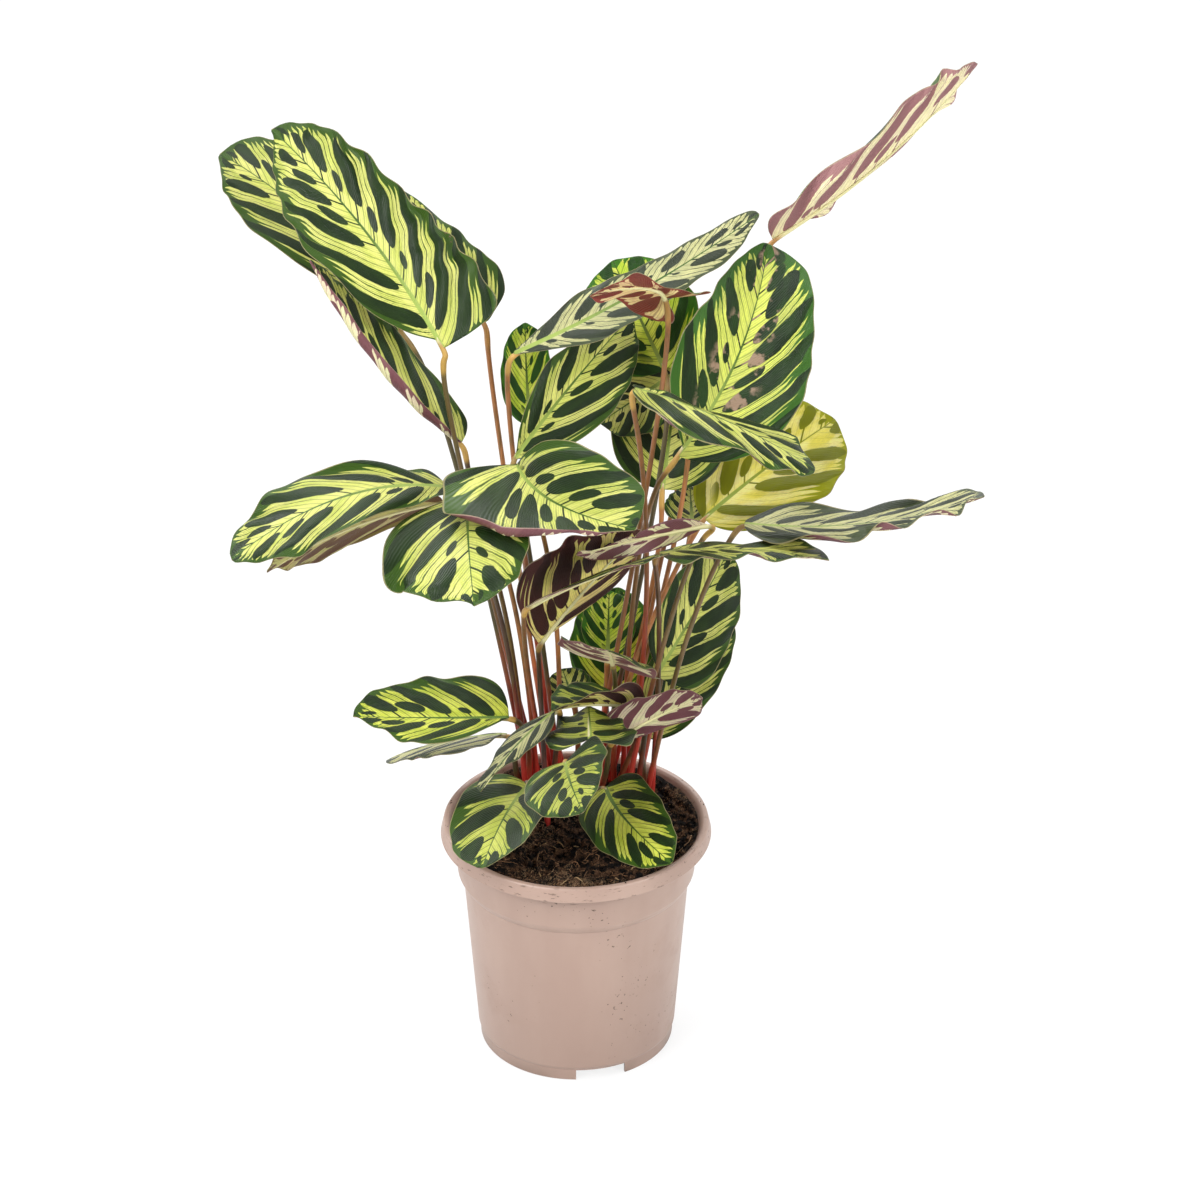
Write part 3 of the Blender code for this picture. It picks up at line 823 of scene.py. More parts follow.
class UpperKind(Enum):
    """The upper sides that the plant's leaves have, each with its finish.  Several are lit and
    shaded copies of the grown side, whose colours hold painted backlight, a painted sheen and
    painted shade.
    """

    GROWN = GROWN_SIDE
    # Painted backlight: brighter, greener colours stand in for light through the back leaves, with
    # more real translucency as well.
    BRIGHT = replace(
        GROWN_SIDE, name="leaf_upper_bright", pale=(0.72, 0.78, 0.14),
        pale_shift=(0.55, 0.72, 0.06), dark=(0.014, 0.06, 0.006), margin=(0.055, 0.21, 0.012),
        clear=0.40)
    SUNLIT = replace(
        GROWN_SIDE, name="leaf_upper_sunlit", pale=(0.93, 0.89, 0.40),
        pale_shift=(0.82, 0.78, 0.14), dark=(0.23, 0.26, 0.008), margin=(0.38, 0.41, 0.008),
        rib_tip=(0.30, 0.34, 0.03), clear=0.5, line_share=0.35, oval_width=0.27)
    # Painted sheen: greyer, paler colours and lighter dark ovals stand in for the lamps' sheen on
    # these tilted leaves, with a little more real gloss as well.
    SILVERY = replace(
        GROWN_SIDE, name="leaf_upper_silvery", pale=(0.62, 0.61, 0.30),
        pale_shift=(0.50, 0.50, 0.24), dark=(0.020, 0.030, 0.014), margin=(0.060, 0.080, 0.034),
        gloss=0.38, edge_width=0.08, oval_width=0.28, small_width=0.10)
    SHADED = replace(
        GROWN_SIDE, name="leaf_upper_shaded", pale=(0.58, 0.62, 0.13),
        pale_shift=(0.46, 0.53, 0.07), oval_width=0.345, small_width=0.21, edge_width=0.14)
    SCORCHED = replace(
        GROWN_SIDE, name="leaf_upper_scorched", pale=(0.70, 0.76, 0.14),
        margin=(0.042, 0.13, 0.015), scorch=0.85, edge_width=0.15, oval_width=0.34)
    YOUNG = replace(
        GROWN_SIDE, name="leaf_upper_young", pale=(0.66, 0.70, 0.11),
        pale_shift=(0.50, 0.58, 0.06), rib_base=(0.13, 0.23, 0.04), oval_width=0.30,
        small_width=0.24, edge_width=0.14, gloss=0.12)


class UnderKind(Enum):
    """The under sides that the plant's leaves have, each with its finish."""

    MAUVE = MAUVE_SIDE
    MAROON = replace(
        MAUVE_SIDE, name="leaf_under_maroon", pale=(0.82, 0.74, 0.24),
        pale_shift=(0.80, 0.62, 0.28), dark=(0.045, 0.014, 0.014), margin=(0.10, 0.028, 0.025),
        oval_width=0.33, small_width=0.18, edge_width=0.11, clear=0.3)
    # A pinker mauve whose colours are also lighter, as painted light for this strongly lit leaf.
    ROSE = replace(
        MAUVE_SIDE, name="leaf_under_rose", pale=(0.88, 0.82, 0.52), pale_shift=(0.86, 0.76, 0.54),
        dark=(0.31, 0.14, 0.145), margin=(0.40, 0.20, 0.20))
    RUSSET = replace(
        MAUVE_SIDE, name="leaf_under_russet", pale=(0.86, 0.70, 0.36),
        pale_shift=(0.80, 0.56, 0.32), dark=(0.20, 0.040, 0.030), margin=(0.30, 0.055, 0.042),
        clear=0.25)
    OLIVE = replace(
        MAUVE_SIDE, name="leaf_under_olive", pale=(0.52, 0.50, 0.20),
        pale_shift=(0.55, 0.44, 0.24), dark=(0.15, 0.07, 0.045), margin=(0.24, 0.18, 0.05),
        clear=0.35)


# ---------------------------------------------------------------------------------------------
# Meshes


def new_object(name: str, data: bpy.types.ID) -> bpy.types.Object:
    """A new object in the scene.

    Args:
        name: The object's name.
        data: Its mesh, camera or light.

    Returns:
        The object.
    """
    thing = bpy.data.objects.new(name, data)
    bpy.context.scene.collection.objects.link(thing)
    return thing


def evaluated_mesh(name: str, carrier: bpy.types.Object, all_layers: bool) -> bpy.types.Mesh:
    """A plain mesh of what an object's modifiers make.

    Args:
        name: The new mesh's name.
        carrier: The object with the modifiers.
        all_layers: Whether every data layer is kept, or only the main ones.

    Returns:
        The mesh.
    """
    view = bpy.context.evaluated_depsgraph_get()
    view.update()
    mesh = bpy.data.meshes.new_from_object(carrier.evaluated_get(view), depsgraph=view,
                                           preserve_all_data_layers=all_layers)
    mesh.name = name
    return mesh


def mesh_from_shape(name: str, shape: bmesh.types.BMesh) -> bpy.types.Mesh:
    """A mesh from an editing shape, which is then freed.

    Args:
        name: The mesh's name.
        shape: The editing shape.

    Returns:
        The mesh.
    """
    mesh = bpy.data.meshes.new(name)
    shape.to_mesh(mesh)
    shape.free()
    return mesh


def mesh_from_arrays(name: str, points: np.ndarray, faces: Faces) -> bpy.types.Mesh:
    """A smooth mesh from points in millimetres around the pot's axis.

    Args:
        name: The mesh's name.
        points: The points.
        faces: Point numbers round each face.

    Returns:
        The mesh in metres, in the part's frame.
    """
    mesh = bpy.data.meshes.new(name)
    mesh.from_pydata(((np.asarray(points) + POT_CENTRE) * MM).tolist(), [], faces)
    mesh.shade_smooth()
    mesh.update()
    return mesh


def set_attributes(mesh: bpy.types.Mesh, **layers: np.ndarray) -> None:
    """Store one value or vector for each point of a mesh, in a layer of each given name.

    Args:
        mesh: The mesh.
        **layers: Each layer's name with its values.
    """
    for name, values in layers.items():
        kind, key = ("FLOAT", "value") if np.ndim(values) == 1 else ("FLOAT_VECTOR", "vector")
        attribute = mesh.attributes.new(name, kind, "POINT")
        attribute.data.foreach_set(key, np.asarray(values, np.float32).ravel())


def path_mesh(name: str, points: np.ndarray, edges: list[tuple[int, int]],
              radius: np.ndarray) -> bpy.types.Mesh:
    """Edges for tubes to follow, with the tubes' radius at each point, all in millimetres.

    Args:
        name: The mesh's name.
        points: The points.
        edges: The numbers of each edge's two points.
        radius: The tube's radius at each point.

    Returns:
        The mesh in metres.
    """
    path = bpy.data.meshes.new(name)
    path.from_pydata(((points + POT_CENTRE) * MM).tolist(), edges, [])
    set_attributes(path, radius=radius * MM)
    return path


def grid_faces(rows: int, columns: int, closed: bool) -> Faces:
    """Quads between rows of points, joined round where the rows are closed.

    Args:
        rows: How many rows there are.
        columns: How many points each row has.
        closed: Whether the rows are rings.

    Returns:
        Point numbers round each face.
    """
    faces = []
    for row in range(rows - 1):
        for column in range(columns if closed else columns - 1):
            beside = (column + 1) % columns
            low = row * columns
            high = low + columns
            faces.append((low + column, low + beside, high + beside, high + column))
    return faces


def capped_faces(rings: int, steps: int) -> Faces:
    """Quads between rings of points, closed by a fan to each of two last points.

    Args:
        rings: How many rings there are.
        steps: How many points each ring has.

    Returns:
        Point numbers round each face.
    """
    faces = grid_faces(rings, steps, True)
    start = rings * steps
    last_ring = start - steps
    for i in range(steps):
        j = (i + 1) % steps
        faces.append((start, j, i))
        faces.append((start + 1, last_ring + i, last_ring + j))
    return faces


def point_outwards(mesh: bpy.types.Mesh) -> bpy.types.Mesh:
    """Turn a closed mesh's faces outwards where its volume comes out negative.

    Args:
        mesh: The closed mesh.

    Returns:
        The same mesh.
    """
    shape = bmesh.new()
    shape.from_mesh(mesh)
    if shape.calc_volume(signed=True) < 0.0:
        bmesh.ops.reverse_faces(shape, faces=shape.faces)
        shape.to_mesh(mesh)
    shape.free()
    return mesh


def turn_profile(name: str, profile: Profile, steps: int) -> bpy.types.Mesh:
    """Turn a closed profile about the pot's axis.

    Args:
        name: The mesh's name.
        profile: Points of radius and height that start and end on the axis.
        steps: How many steps go round.

    Returns:
        The closed mesh.
    """
    angles = np.linspace(0.0, math.tau, steps, endpoint=False)
    rings = [around(radius, angles, height) for radius, height in profile[1:-1]]
    ends = [[0.0, 0.0, profile[end][1]] for end in (0, -1)]
    return point_outwards(mesh_from_arrays(name, np.concatenate([*rings, ends]),
                                           capped_faces(len(rings), steps)))


def rounded(profile: Profile, radius: float, steps: int) -> Profile:
    """Round a profile's corners.

    Args:
        profile: Points of radius and height.
        radius: The rounding, cut down where a side is short.
        steps: How many sides each corner gets.

    Returns:
        The finer profile.
    """
    points = [np.array(point, float) for point in profile]
    result = [tuple(points[0])]
    for before, here, after in zip(points, points[1:], points[2:]):
        back = before - here
        on = after - here
        reach = min(radius, 0.45 * np.linalg.norm(back), 0.45 * np.linalg.norm(on))
        start = here + unit(back) * reach
        end = here + unit(on) * reach
        for t in np.linspace(0.0, 1.0, steps + 1):
            spot = (1 - t) ** 2 * start + 2 * t * (1 - t) * here + t * t * end
            result.append((float(spot[0]), float(spot[1])))
    result.append(tuple(points[-1]))
    return result


def add_piece(mesh: bpy.types.Mesh, replaces: str = "") -> bpy.types.Object:
    """Put a finished mesh in the scene as a piece of the object.

    Args:
        mesh: The mesh, in place.
        replaces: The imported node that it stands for, if any.

    Returns:
        The piece.
    """
    piece = new_object(mesh.name, mesh)
    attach(piece, "root")
    if replaces:
        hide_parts(replaces)
    log.info("%s: %d faces", piece.name, len(mesh.polygons))
    return piece


# ---------------------------------------------------------------------------------------------
# Leaves


@dataclass(frozen=True)
class Leaf:
    """One leaf, its petiole and blade, in millimetres and degrees from the pot's axis.

    The petiole runs from its foot in the soil through the via point to the neck, and the blade
    from there to the tip.  Left and right hold the blade's half widths where its edge is drawn,
    and each pair holds a value for the left side and one for the right.
    """

    name: str
    foot: tuple[float, float]
    via: Place
    neck: Place
    tip: Place
    width: float
    facing: tuple[float, float]
    arch: float = 0.0
    sway: float = 0.0
    twist: float = 0.0
    fold: float = 0.0
    curl_left: float = 0.0
    curl_right: float = 0.0
    widest: float = 0.44
    blunt: float = 0.55
    lobes: tuple[float, float] = (0.0, 0.0)
    left: tuple[float, ...] = ()
    right: tuple[float, ...] = ()
    upper: UpperKind = UpperKind.GROWN
    under: UnderKind = UnderKind.MAUVE
    ruffle: tuple[float, float] = (1.6, 1.6)
    roll_right: float = 0.0
    roll_from: float = 0.0


def by_side(u: np.ndarray, left: float, right: float) -> np.ndarray:
    """The value of the side that each point lies on."""
    return np.where(u > 0, right, left)


class Blade:
    """The curved surface of one leaf's blade.

    Its points are given by t, the share along it, and u, the share across it from -1 to 1.
    """

    SPACING = 28.0
    FIRST_SEED = 1200
    ROLL_START, ROLL_SPAN, ROLL_FADE = 0.74, 0.26, 0.18
    SLOPE_STEPS = 20
    VEIN_STEPS = 18
    CURL_POWER = 1.5
    RUFFLED_WIDTH = 75.0

    def __init__(self, leaf: Leaf, number: int) -> None:
        """Work out the blade's axes.

        Args:
            leaf: The leaf's values.
            number: The leaf's place in the table, which seeds what varies by chance.
        """
        self.leaf = leaf
        self.neck = np.array(leaf.neck, float)
        self.tip = np.array(leaf.tip, float)
        self.length = float(np.linalg.norm(self.tip - self.neck))
        self.along = unit(self.tip - self.neck)
        look = direction(*leaf.facing)
        self.up = unit(look - (look @ self.along) * self.along)
        self.right = np.cross(self.along, self.up)
        self.spacings = float(np.clip(self.length / self.SPACING, 3.4, 6.2))
        self.waves = np.random.default_rng(self.FIRST_SEED + number).uniform(0.0, math.tau, (2, 4))

    def half_width(self, t: np.ndarray, u: np.ndarray) -> np.ndarray:
        """Half the blade's width at each t, on the side that each u lies on.

        Args:
            t: The share along the blade.
            u: The share across it, for its sign.

        Returns:
            The half widths.
        """
        leaf = self.leaf
        low = np.clip(t / leaf.widest, 0.0, 1.0)
        high = np.clip((t - leaf.widest) / (1.0 - leaf.widest), 0.0, 1.0)
        share = np.where(t < leaf.widest, (1.0 - (1.0 - low) ** 2.3) ** 0.5,
                         (1.0 - high ** 2.1) ** leaf.blunt)
        half = 0.5 * leaf.width * share * (1.0 - 0.4 * smooth_step(0.93, 1.0, t))
        if leaf.left:
            half = np.where(u < 0, self.drawn(leaf.left, t), half)
        if leaf.right:
            half = np.where(u > 0, self.drawn(leaf.right, t), half)
        return half

    @staticmethod
    def drawn(sizes: tuple[float, ...], t: np.ndarray) -> np.ndarray:
        """A smooth edge through widths that stand closer together near the ends.

        Args:
            sizes: The half widths between the neck and the tip.
            t: The share along the blade.

        Returns:
            The half width at each t.
        """
        knots = np.array([0.0, *sizes, 0.0])
        slopes = np.gradient(knots)
        place = np.arccos(np.clip(1.0 - 2.0 * t, -1.0, 1.0)) / math.pi * (len(knots) - 1)
        first = np.clip(place.astype(int), 0, len(knots) - 2)
        f = place - first
        near = (1 + 2 * f) * (1 - f) ** 2 * knots[first] + f * (1 - f) ** 2 * slopes[first]
        far = f * f * (3 - 2 * f) * knots[first + 1] - f * f * (1 - f) * slopes[first + 1]
        return np.maximum(near + far, 0.0)

    def midrib(self, t: np.ndarray) -> np.ndarray:
        """The midrib's point at each t.

        Args:
            t: The share along the blade.

        Returns:
            The points.
        """
        t = np.asarray(t, float)[..., None]
        bow = 4.0 * t * (1.0 - t) * self.length
        rise = self.leaf.arch * bow * self.up + self.leaf.sway * bow * self.right
        return self.neck + t * self.length * self.along + rise

    def heading(self, t: np.ndarray) -> np.ndarray:
        """The midrib's direction at each t.

        Args:
            t: The share along the blade.

        Returns:
            The unit directions.
        """
        bow = 4.0 * (1.0 - 2.0 * np.asarray(t, float)[..., None])
        rise = self.leaf.arch * bow * self.up + self.leaf.sway * bow * self.right
        return unit(self.along + rise)

    def lobe(self, t: np.ndarray, u: np.ndarray) -> np.ndarray:
        """How far the blade runs back beside the neck at each point, in half widths."""
        return by_side(u, *self.leaf.lobes) * u * u * np.maximum(0.0, 1.0 - t / self.leaf.widest)

    def veins(self, t: np.ndarray, u: np.ndarray) -> np.ndarray:
        """How many oval spacings along the midrib the side vein through a point leaves it.

        Args:
            t: The share along the blade.
            u: The share across it, from -1 to 1.

        Returns:
            The vein coordinate of each point.
        """
        leaf = self.leaf
        half = self.half_width(t, u)
        out = np.abs(u) * half
        slim = float(np.clip(self.length / leaf.width / 1.9, 0.55, 1.1))
        place = t * self.length - self.lobe(t, u) * half
        slant = slim * (0.55 + 1.25 * np.clip(t, 0.0, 1.0) ** 0.7)
        bend = 0.45 * slim * out * out / (0.5 * leaf.width)
        fan = 0.9 * np.minimum(by_side(u, *leaf.lobes), 1.8)
        low, high = np.full(np.shape(place), -0.5), np.ones(np.shape(place))
        for _ in range(self.VEIN_STEPS):
            start = 0.5 * (low + high)
            spread = fan * np.exp(-np.maximum(start, 0.0) / 0.16)
            beyond = start * self.length + (slant - spread) * out + bend * (0.35 + t) > place
            low, high = np.where(beyond, low, start), np.where(beyond, start, high)
        crowd = 0.2 * (1.0 - np.exp(-np.maximum(low, 0.0) / 0.2)) + np.minimum(low, 0.0)
        return (low + crowd) * self.spacings / 1.2

    def surface(self, t: np.ndarray, u: np.ndarray) -> tuple[np.ndarray, np.ndarray]:
        """The blade's middle surface and its upward direction.

        Args:
            t: The share along the blade, one for each row.
            u: The share across it, one for each column.

        Returns:
            The points and the unit normals, row by row.
        """
        leaf = self.leaf
        t, u = np.meshgrid(t, u, indexing="ij")
        side = np.abs(u)
        curl = by_side(u, leaf.curl_left, leaf.curl_right)
        window = smooth_step(leaf.roll_from, leaf.roll_from + self.ROLL_FADE, t)
        window = window * (1.0 - smooth_step(1.0 - self.ROLL_FADE, 1.0, t))
        roll = by_side(u, 0.0, leaf.roll_right) * window

        def slope(share: np.ndarray) -> np.ndarray:
            """How steeply the blade rises at a share of its half width."""
            rolled = roll * np.clip((share - self.ROLL_START) / self.ROLL_SPAN, 0.0, 1.0)
            return np.radians(leaf.fold + curl * share ** self.CURL_POWER + rolled)

        out = np.zeros_like(t)
        lift = np.zeros_like(t)
        for step in range(self.SLOPE_STEPS):
            rising = slope(side * (step + 0.5) / self.SLOPE_STEPS)
            out += np.cos(rising) * side / self.SLOPE_STEPS
            lift += np.sin(rising) * side / self.SLOPE_STEPS
        flat, steep = np.cos(slope(side))[..., None], np.sin(slope(side))[..., None]
        wave = np.sin(math.tau * 1.1 * self.veins(t, np.sign(u)) + sum(self.waves[0]))
        scallop = 0.012 * max(leaf.ruffle) * wave * smooth_step(0.05, 0.25, t)
        half = (self.half_width(t, u) * (1.0 + scallop))[..., None]
        turn = np.radians(leaf.twist) * (t - 0.5)[..., None]
        across = np.cos(turn) * self.right + np.sin(turn) * self.up
        rise = np.cos(turn) * self.up - np.sin(turn) * self.right
        sign = np.where(u >= 0, 1.0, -1.0)[..., None]
        points = self.midrib(t) + sign * out[..., None] * half * across
        points = points + lift[..., None] * half * rise
        points = points - self.lobe(t, u)[..., None] * half * self.along
        slant = sign * flat * across + steep * rise
        normal = unit(np.cross(slant * sign, self.heading(t)))
        upward = np.sum(normal * rise * flat - normal * sign * steep * across, -1, keepdims=True)
        normal = normal * np.sign(upward + 1e-9)
        return points + self.ruffle(t, u)[..., None] * normal, normal

    def ruffle(self, t: np.ndarray, u: np.ndarray) -> np.ndarray:
        """How far each point stands off the smooth surface: pleats and a wavy edge.

        Args:
            t: The share along the blade.
            u: The share across it.

        Returns:
            The distances in millimetres.
        """
        side = np.abs(u)
        phase = math.tau * (self.veins(t, u) + SIDE_SHIFT * (u > 0))
        ends = smooth_step(0.0, 0.16, t) * (1.0 - smooth_step(0.86, 1.0, t))
        wave, slow = [by_side(u, self.waves[1, i], self.waves[0, i]) for i in (0, 1)]
        size = by_side(u, *self.leaf.ruffle) * self.leaf.width / self.RUFFLED_WIDTH
        pleats = 0.33 * np.cos(phase) * np.clip(side * 2.2, 0.0, 1.0)
        edge = smooth_step(0.35, 1.0, side) ** 1.3 * np.sin(0.62 * phase + wave)
        lumps = 0.35 * side * np.sin(0.31 * phase + slow)
        return size * ends * (pleats + edge + lumps)


class LeafPiece:
    """One whole leaf of the scene: its blade, and its petiole that runs on as the midrib."""

    ROWS = 76
    COLUMNS = 39
    EDGE_CROWD = 1.25
    EDGE_HALF = 0.14
    BLADE_HALF = 0.42
    NOT_PETIOLE = 2.0
    GOLDEN_SHARE = 0.6180339
    STEM_RADIUS = 1.55
    STEM_STEPS, RIB_STEPS, RIB_END = 30, 34, 0.95
    RIB_RADIUS = ((0.0, 0.12, 0.6, 0.95), (1.55, 1.2, 0.75, 0.3))
    RIB_SUNK, RIB_GAP = 0.62, 0.12
    ROOTED = ((0.0, 0.0, 6.0), (0.0, 0.0, 3.0))
    BEND_BACK = (4.0, 2.0)
    JOINT_BACK, JOINT_REACH = 6.0, 16.0
    SMOOTHINGS = 5
    FLARE, FLARE_REACH = 0.65, 30.0
    SWELL, SWELL_AT, SWELL_REACH = 0.35, 0.965, 8.0
    TUBE_SIDES = 10

    def __init__(self, leaf: Leaf, number: int, soil_top: float) -> None:
        """Keep the leaf's values.

        Args:
            leaf: The leaf's values.
            number: Its place in the table.
            soil_top: The soil's height at the leaf's foot.
        """
        self.leaf = leaf
        self.blade = Blade(leaf, number)
        self.foot = np.array([*leaf.foot, soil_top])
        self.seed = (number * self.GOLDEN_SHARE) % 1.0

    def blade_mesh(self) -> bpy.types.Mesh:
        """The closed blade with its vein coordinates.

        Returns:
            The mesh, with its upper side in the first material slot.
        """
        s = np.linspace(0.0, 1.0, self.ROWS)
        t = 0.45 * s + 0.55 * (0.5 - 0.5 * np.cos(math.pi * s))
        u = np.linspace(-1.0, 1.0, self.COLUMNS) * self.EDGE_CROWD
        u = np.sin(u) / math.sin(self.EDGE_CROWD)
        middle, normal = self.blade.surface(t, u)
        grid_t, grid_u = np.meshgrid(t, u, indexing="ij")
        thin = 1.0 - smooth_step(0.8, 1.0, np.abs(grid_u))
        half = (self.EDGE_HALF + (self.BLADE_HALF - self.EDGE_HALF) * thin)[..., None] * normal
        sides = ((middle + half, middle - half), (grid_t, grid_t), (grid_u, grid_u))
        ring, ring_t, ring_u = [np.concatenate([top, bottom[:, ::-1]], axis=1)[1:-1]
                                for top, bottom in sides]
        rows, columns = ring_t.shape
        points = np.concatenate([ring.reshape(-1, 3), [self.blade.neck], [self.blade.tip]])
        point_t = np.append(ring_t, [0.0, 1.0])
        point_u = np.append(ring_u, [0.0, 0.0])
        mesh = mesh_from_arrays(f"{self.leaf.name}_blade", points, capped_faces(rows, columns))
        out = np.abs(point_u) * self.blade.half_width(point_t, point_u)
        vein = np.stack([self.blade.veins(point_t, point_u), np.abs(point_u), out / 10.0], -1)
        set_attributes(mesh, vein=vein, seed=np.full(len(points), self.seed),
                       share=np.full(len(points), self.NOT_PETIOLE))
        corners = np.zeros(len(mesh.loops), np.int32)
        mesh.loops.foreach_get("vertex_index", corners)
        uv = np.stack([point_t[corners], 0.5 + 0.5 * point_u[corners]], -1)
        mesh.uv_layers.new(name="Blade").data.foreach_set("uv", uv.astype(np.float32).ravel())
        for face in mesh.polygons:
            spots = [index % columns for index in face.vertices if index < rows * columns]
            face.material_index = 1 if sum(spots) / len(spots) > columns // 2 - 0.5 else 0
        return point_outwards(mesh)

    def petiole_path(self) -> tuple[np.ndarray, np.ndarray, np.ndarray]:
        """The petiole's points, radii and shares along it, then on under the blade.

        Returns:
            The points, the radius at each and the share, which passes 1 at the neck.
        """
        blade = self.blade
        via = np.array(self.leaf.via, float)
        coming = unit(blade.neck - via)
        elbow = blade.neck - self.JOINT_BACK * unit(0.6 * blade.along + coming)
        pull = 2.0 * via - (self.foot + elbow) / 2.0
        t = np.linspace(0.0, 1.0, self.STEM_STEPS)[:, None]
        stem = (1 - t) ** 2 * self.foot + 2 * t * (1 - t) * pull + t * t * elbow
        down = stem[0] - np.array(self.ROOTED)
        bend = blade.neck - np.array(self.BEND_BACK)[:, None] * unit(blade.along + coming)
        under_t = np.linspace(0.0, self.RIB_END, self.RIB_STEPS)
        rib, normal = blade.surface(under_t, np.array([0.0]))
        rib_radius = np.interp(under_t, *self.RIB_RADIUS)
        rib = rib[:, 0] - (self.RIB_SUNK * rib_radius + self.RIB_GAP)[:, None] * normal[:, 0]
        points = np.concatenate([down, stem, bend, rib])
        for _ in range(self.SMOOTHINGS):
            inner = points[1:-1]
            smooth = 0.5 * inner + 0.25 * (points[:-2] + points[2:])
            near_bend = np.linalg.norm(inner - elbow, axis=1, keepdims=True) < self.JOINT_REACH
            points[1:-1] = np.where(near_bend, smooth, inner)
        count = len(points) - len(rib)
        steps = np.linalg.norm(np.diff(points[:count + 1], axis=0), axis=1)
        length = float(steps.sum())
        share = np.concatenate([[0.0], np.cumsum(steps)[:-1] / length, 1.0 + 0.6 * under_t])
        swell = self.SWELL * np.exp(-((share - self.SWELL_AT) * length / self.SWELL_REACH) ** 2)
        flare = self.FLARE * np.exp(-share * length / self.FLARE_REACH)
        stem_radius = self.STEM_RADIUS + flare + swell
        return points, np.concatenate([stem_radius[:count], rib_radius]), share

    def petiole_mesh(self, tubes: GeometryTree, skin: bpy.types.Material) -> bpy.types.Mesh:
        """The petiole and midrib as one tube along their path.

        Args:
            tubes: The tree that makes tubes.
            skin: The petiole's finish.

        Returns:
            The closed mesh.
        """
        points, radius, share = self.petiole_path()
        edges = [(i, i + 1) for i in range(len(points) - 1)]
        path = path_mesh(f"{self.leaf.name}_path", points, edges, radius)
        set_attributes(path, share=share, seed=np.full(len(points), self.seed))
        name = f"{self.leaf.name}_petiole"
        return point_outwards(tubes.run(name, path, Sides=self.TUBE_SIDES, Material=skin))

    def build(self, tubes: GeometryTree, upper: bpy.types.Material, under: bpy.types.Material,
              skin: bpy.types.Material) -> bpy.types.Object:
        """Build the leaf as one piece.

        Args:
            tubes: The tree that makes the petiole.
            upper: The finish of the blade's upper side.
            under: The finish of its under side.
            skin: The finish of the petiole.

        Returns:
            The finished leaf.
        """
        blade = self.blade_mesh()
        petiole = self.petiole_mesh(tubes, skin)
        joined = bmesh.new()
        joined.from_mesh(blade)
        petiole_first = len(joined.faces)
        joined.from_mesh(petiole)
        joined.faces.ensure_lookup_table()
        for face in joined.faces[petiole_first:]:
            face.material_index = 2
            face.smooth = True
        mesh = mesh_from_shape(f"calathea_{self.leaf.name}", joined)
        for material in (upper, under, skin):
            mesh.materials.append(material)
        for spent in (blade, petiole):
            bpy.data.meshes.remove(spent)
        return add_piece(mesh, f"leaf_{self.leaf.name}")


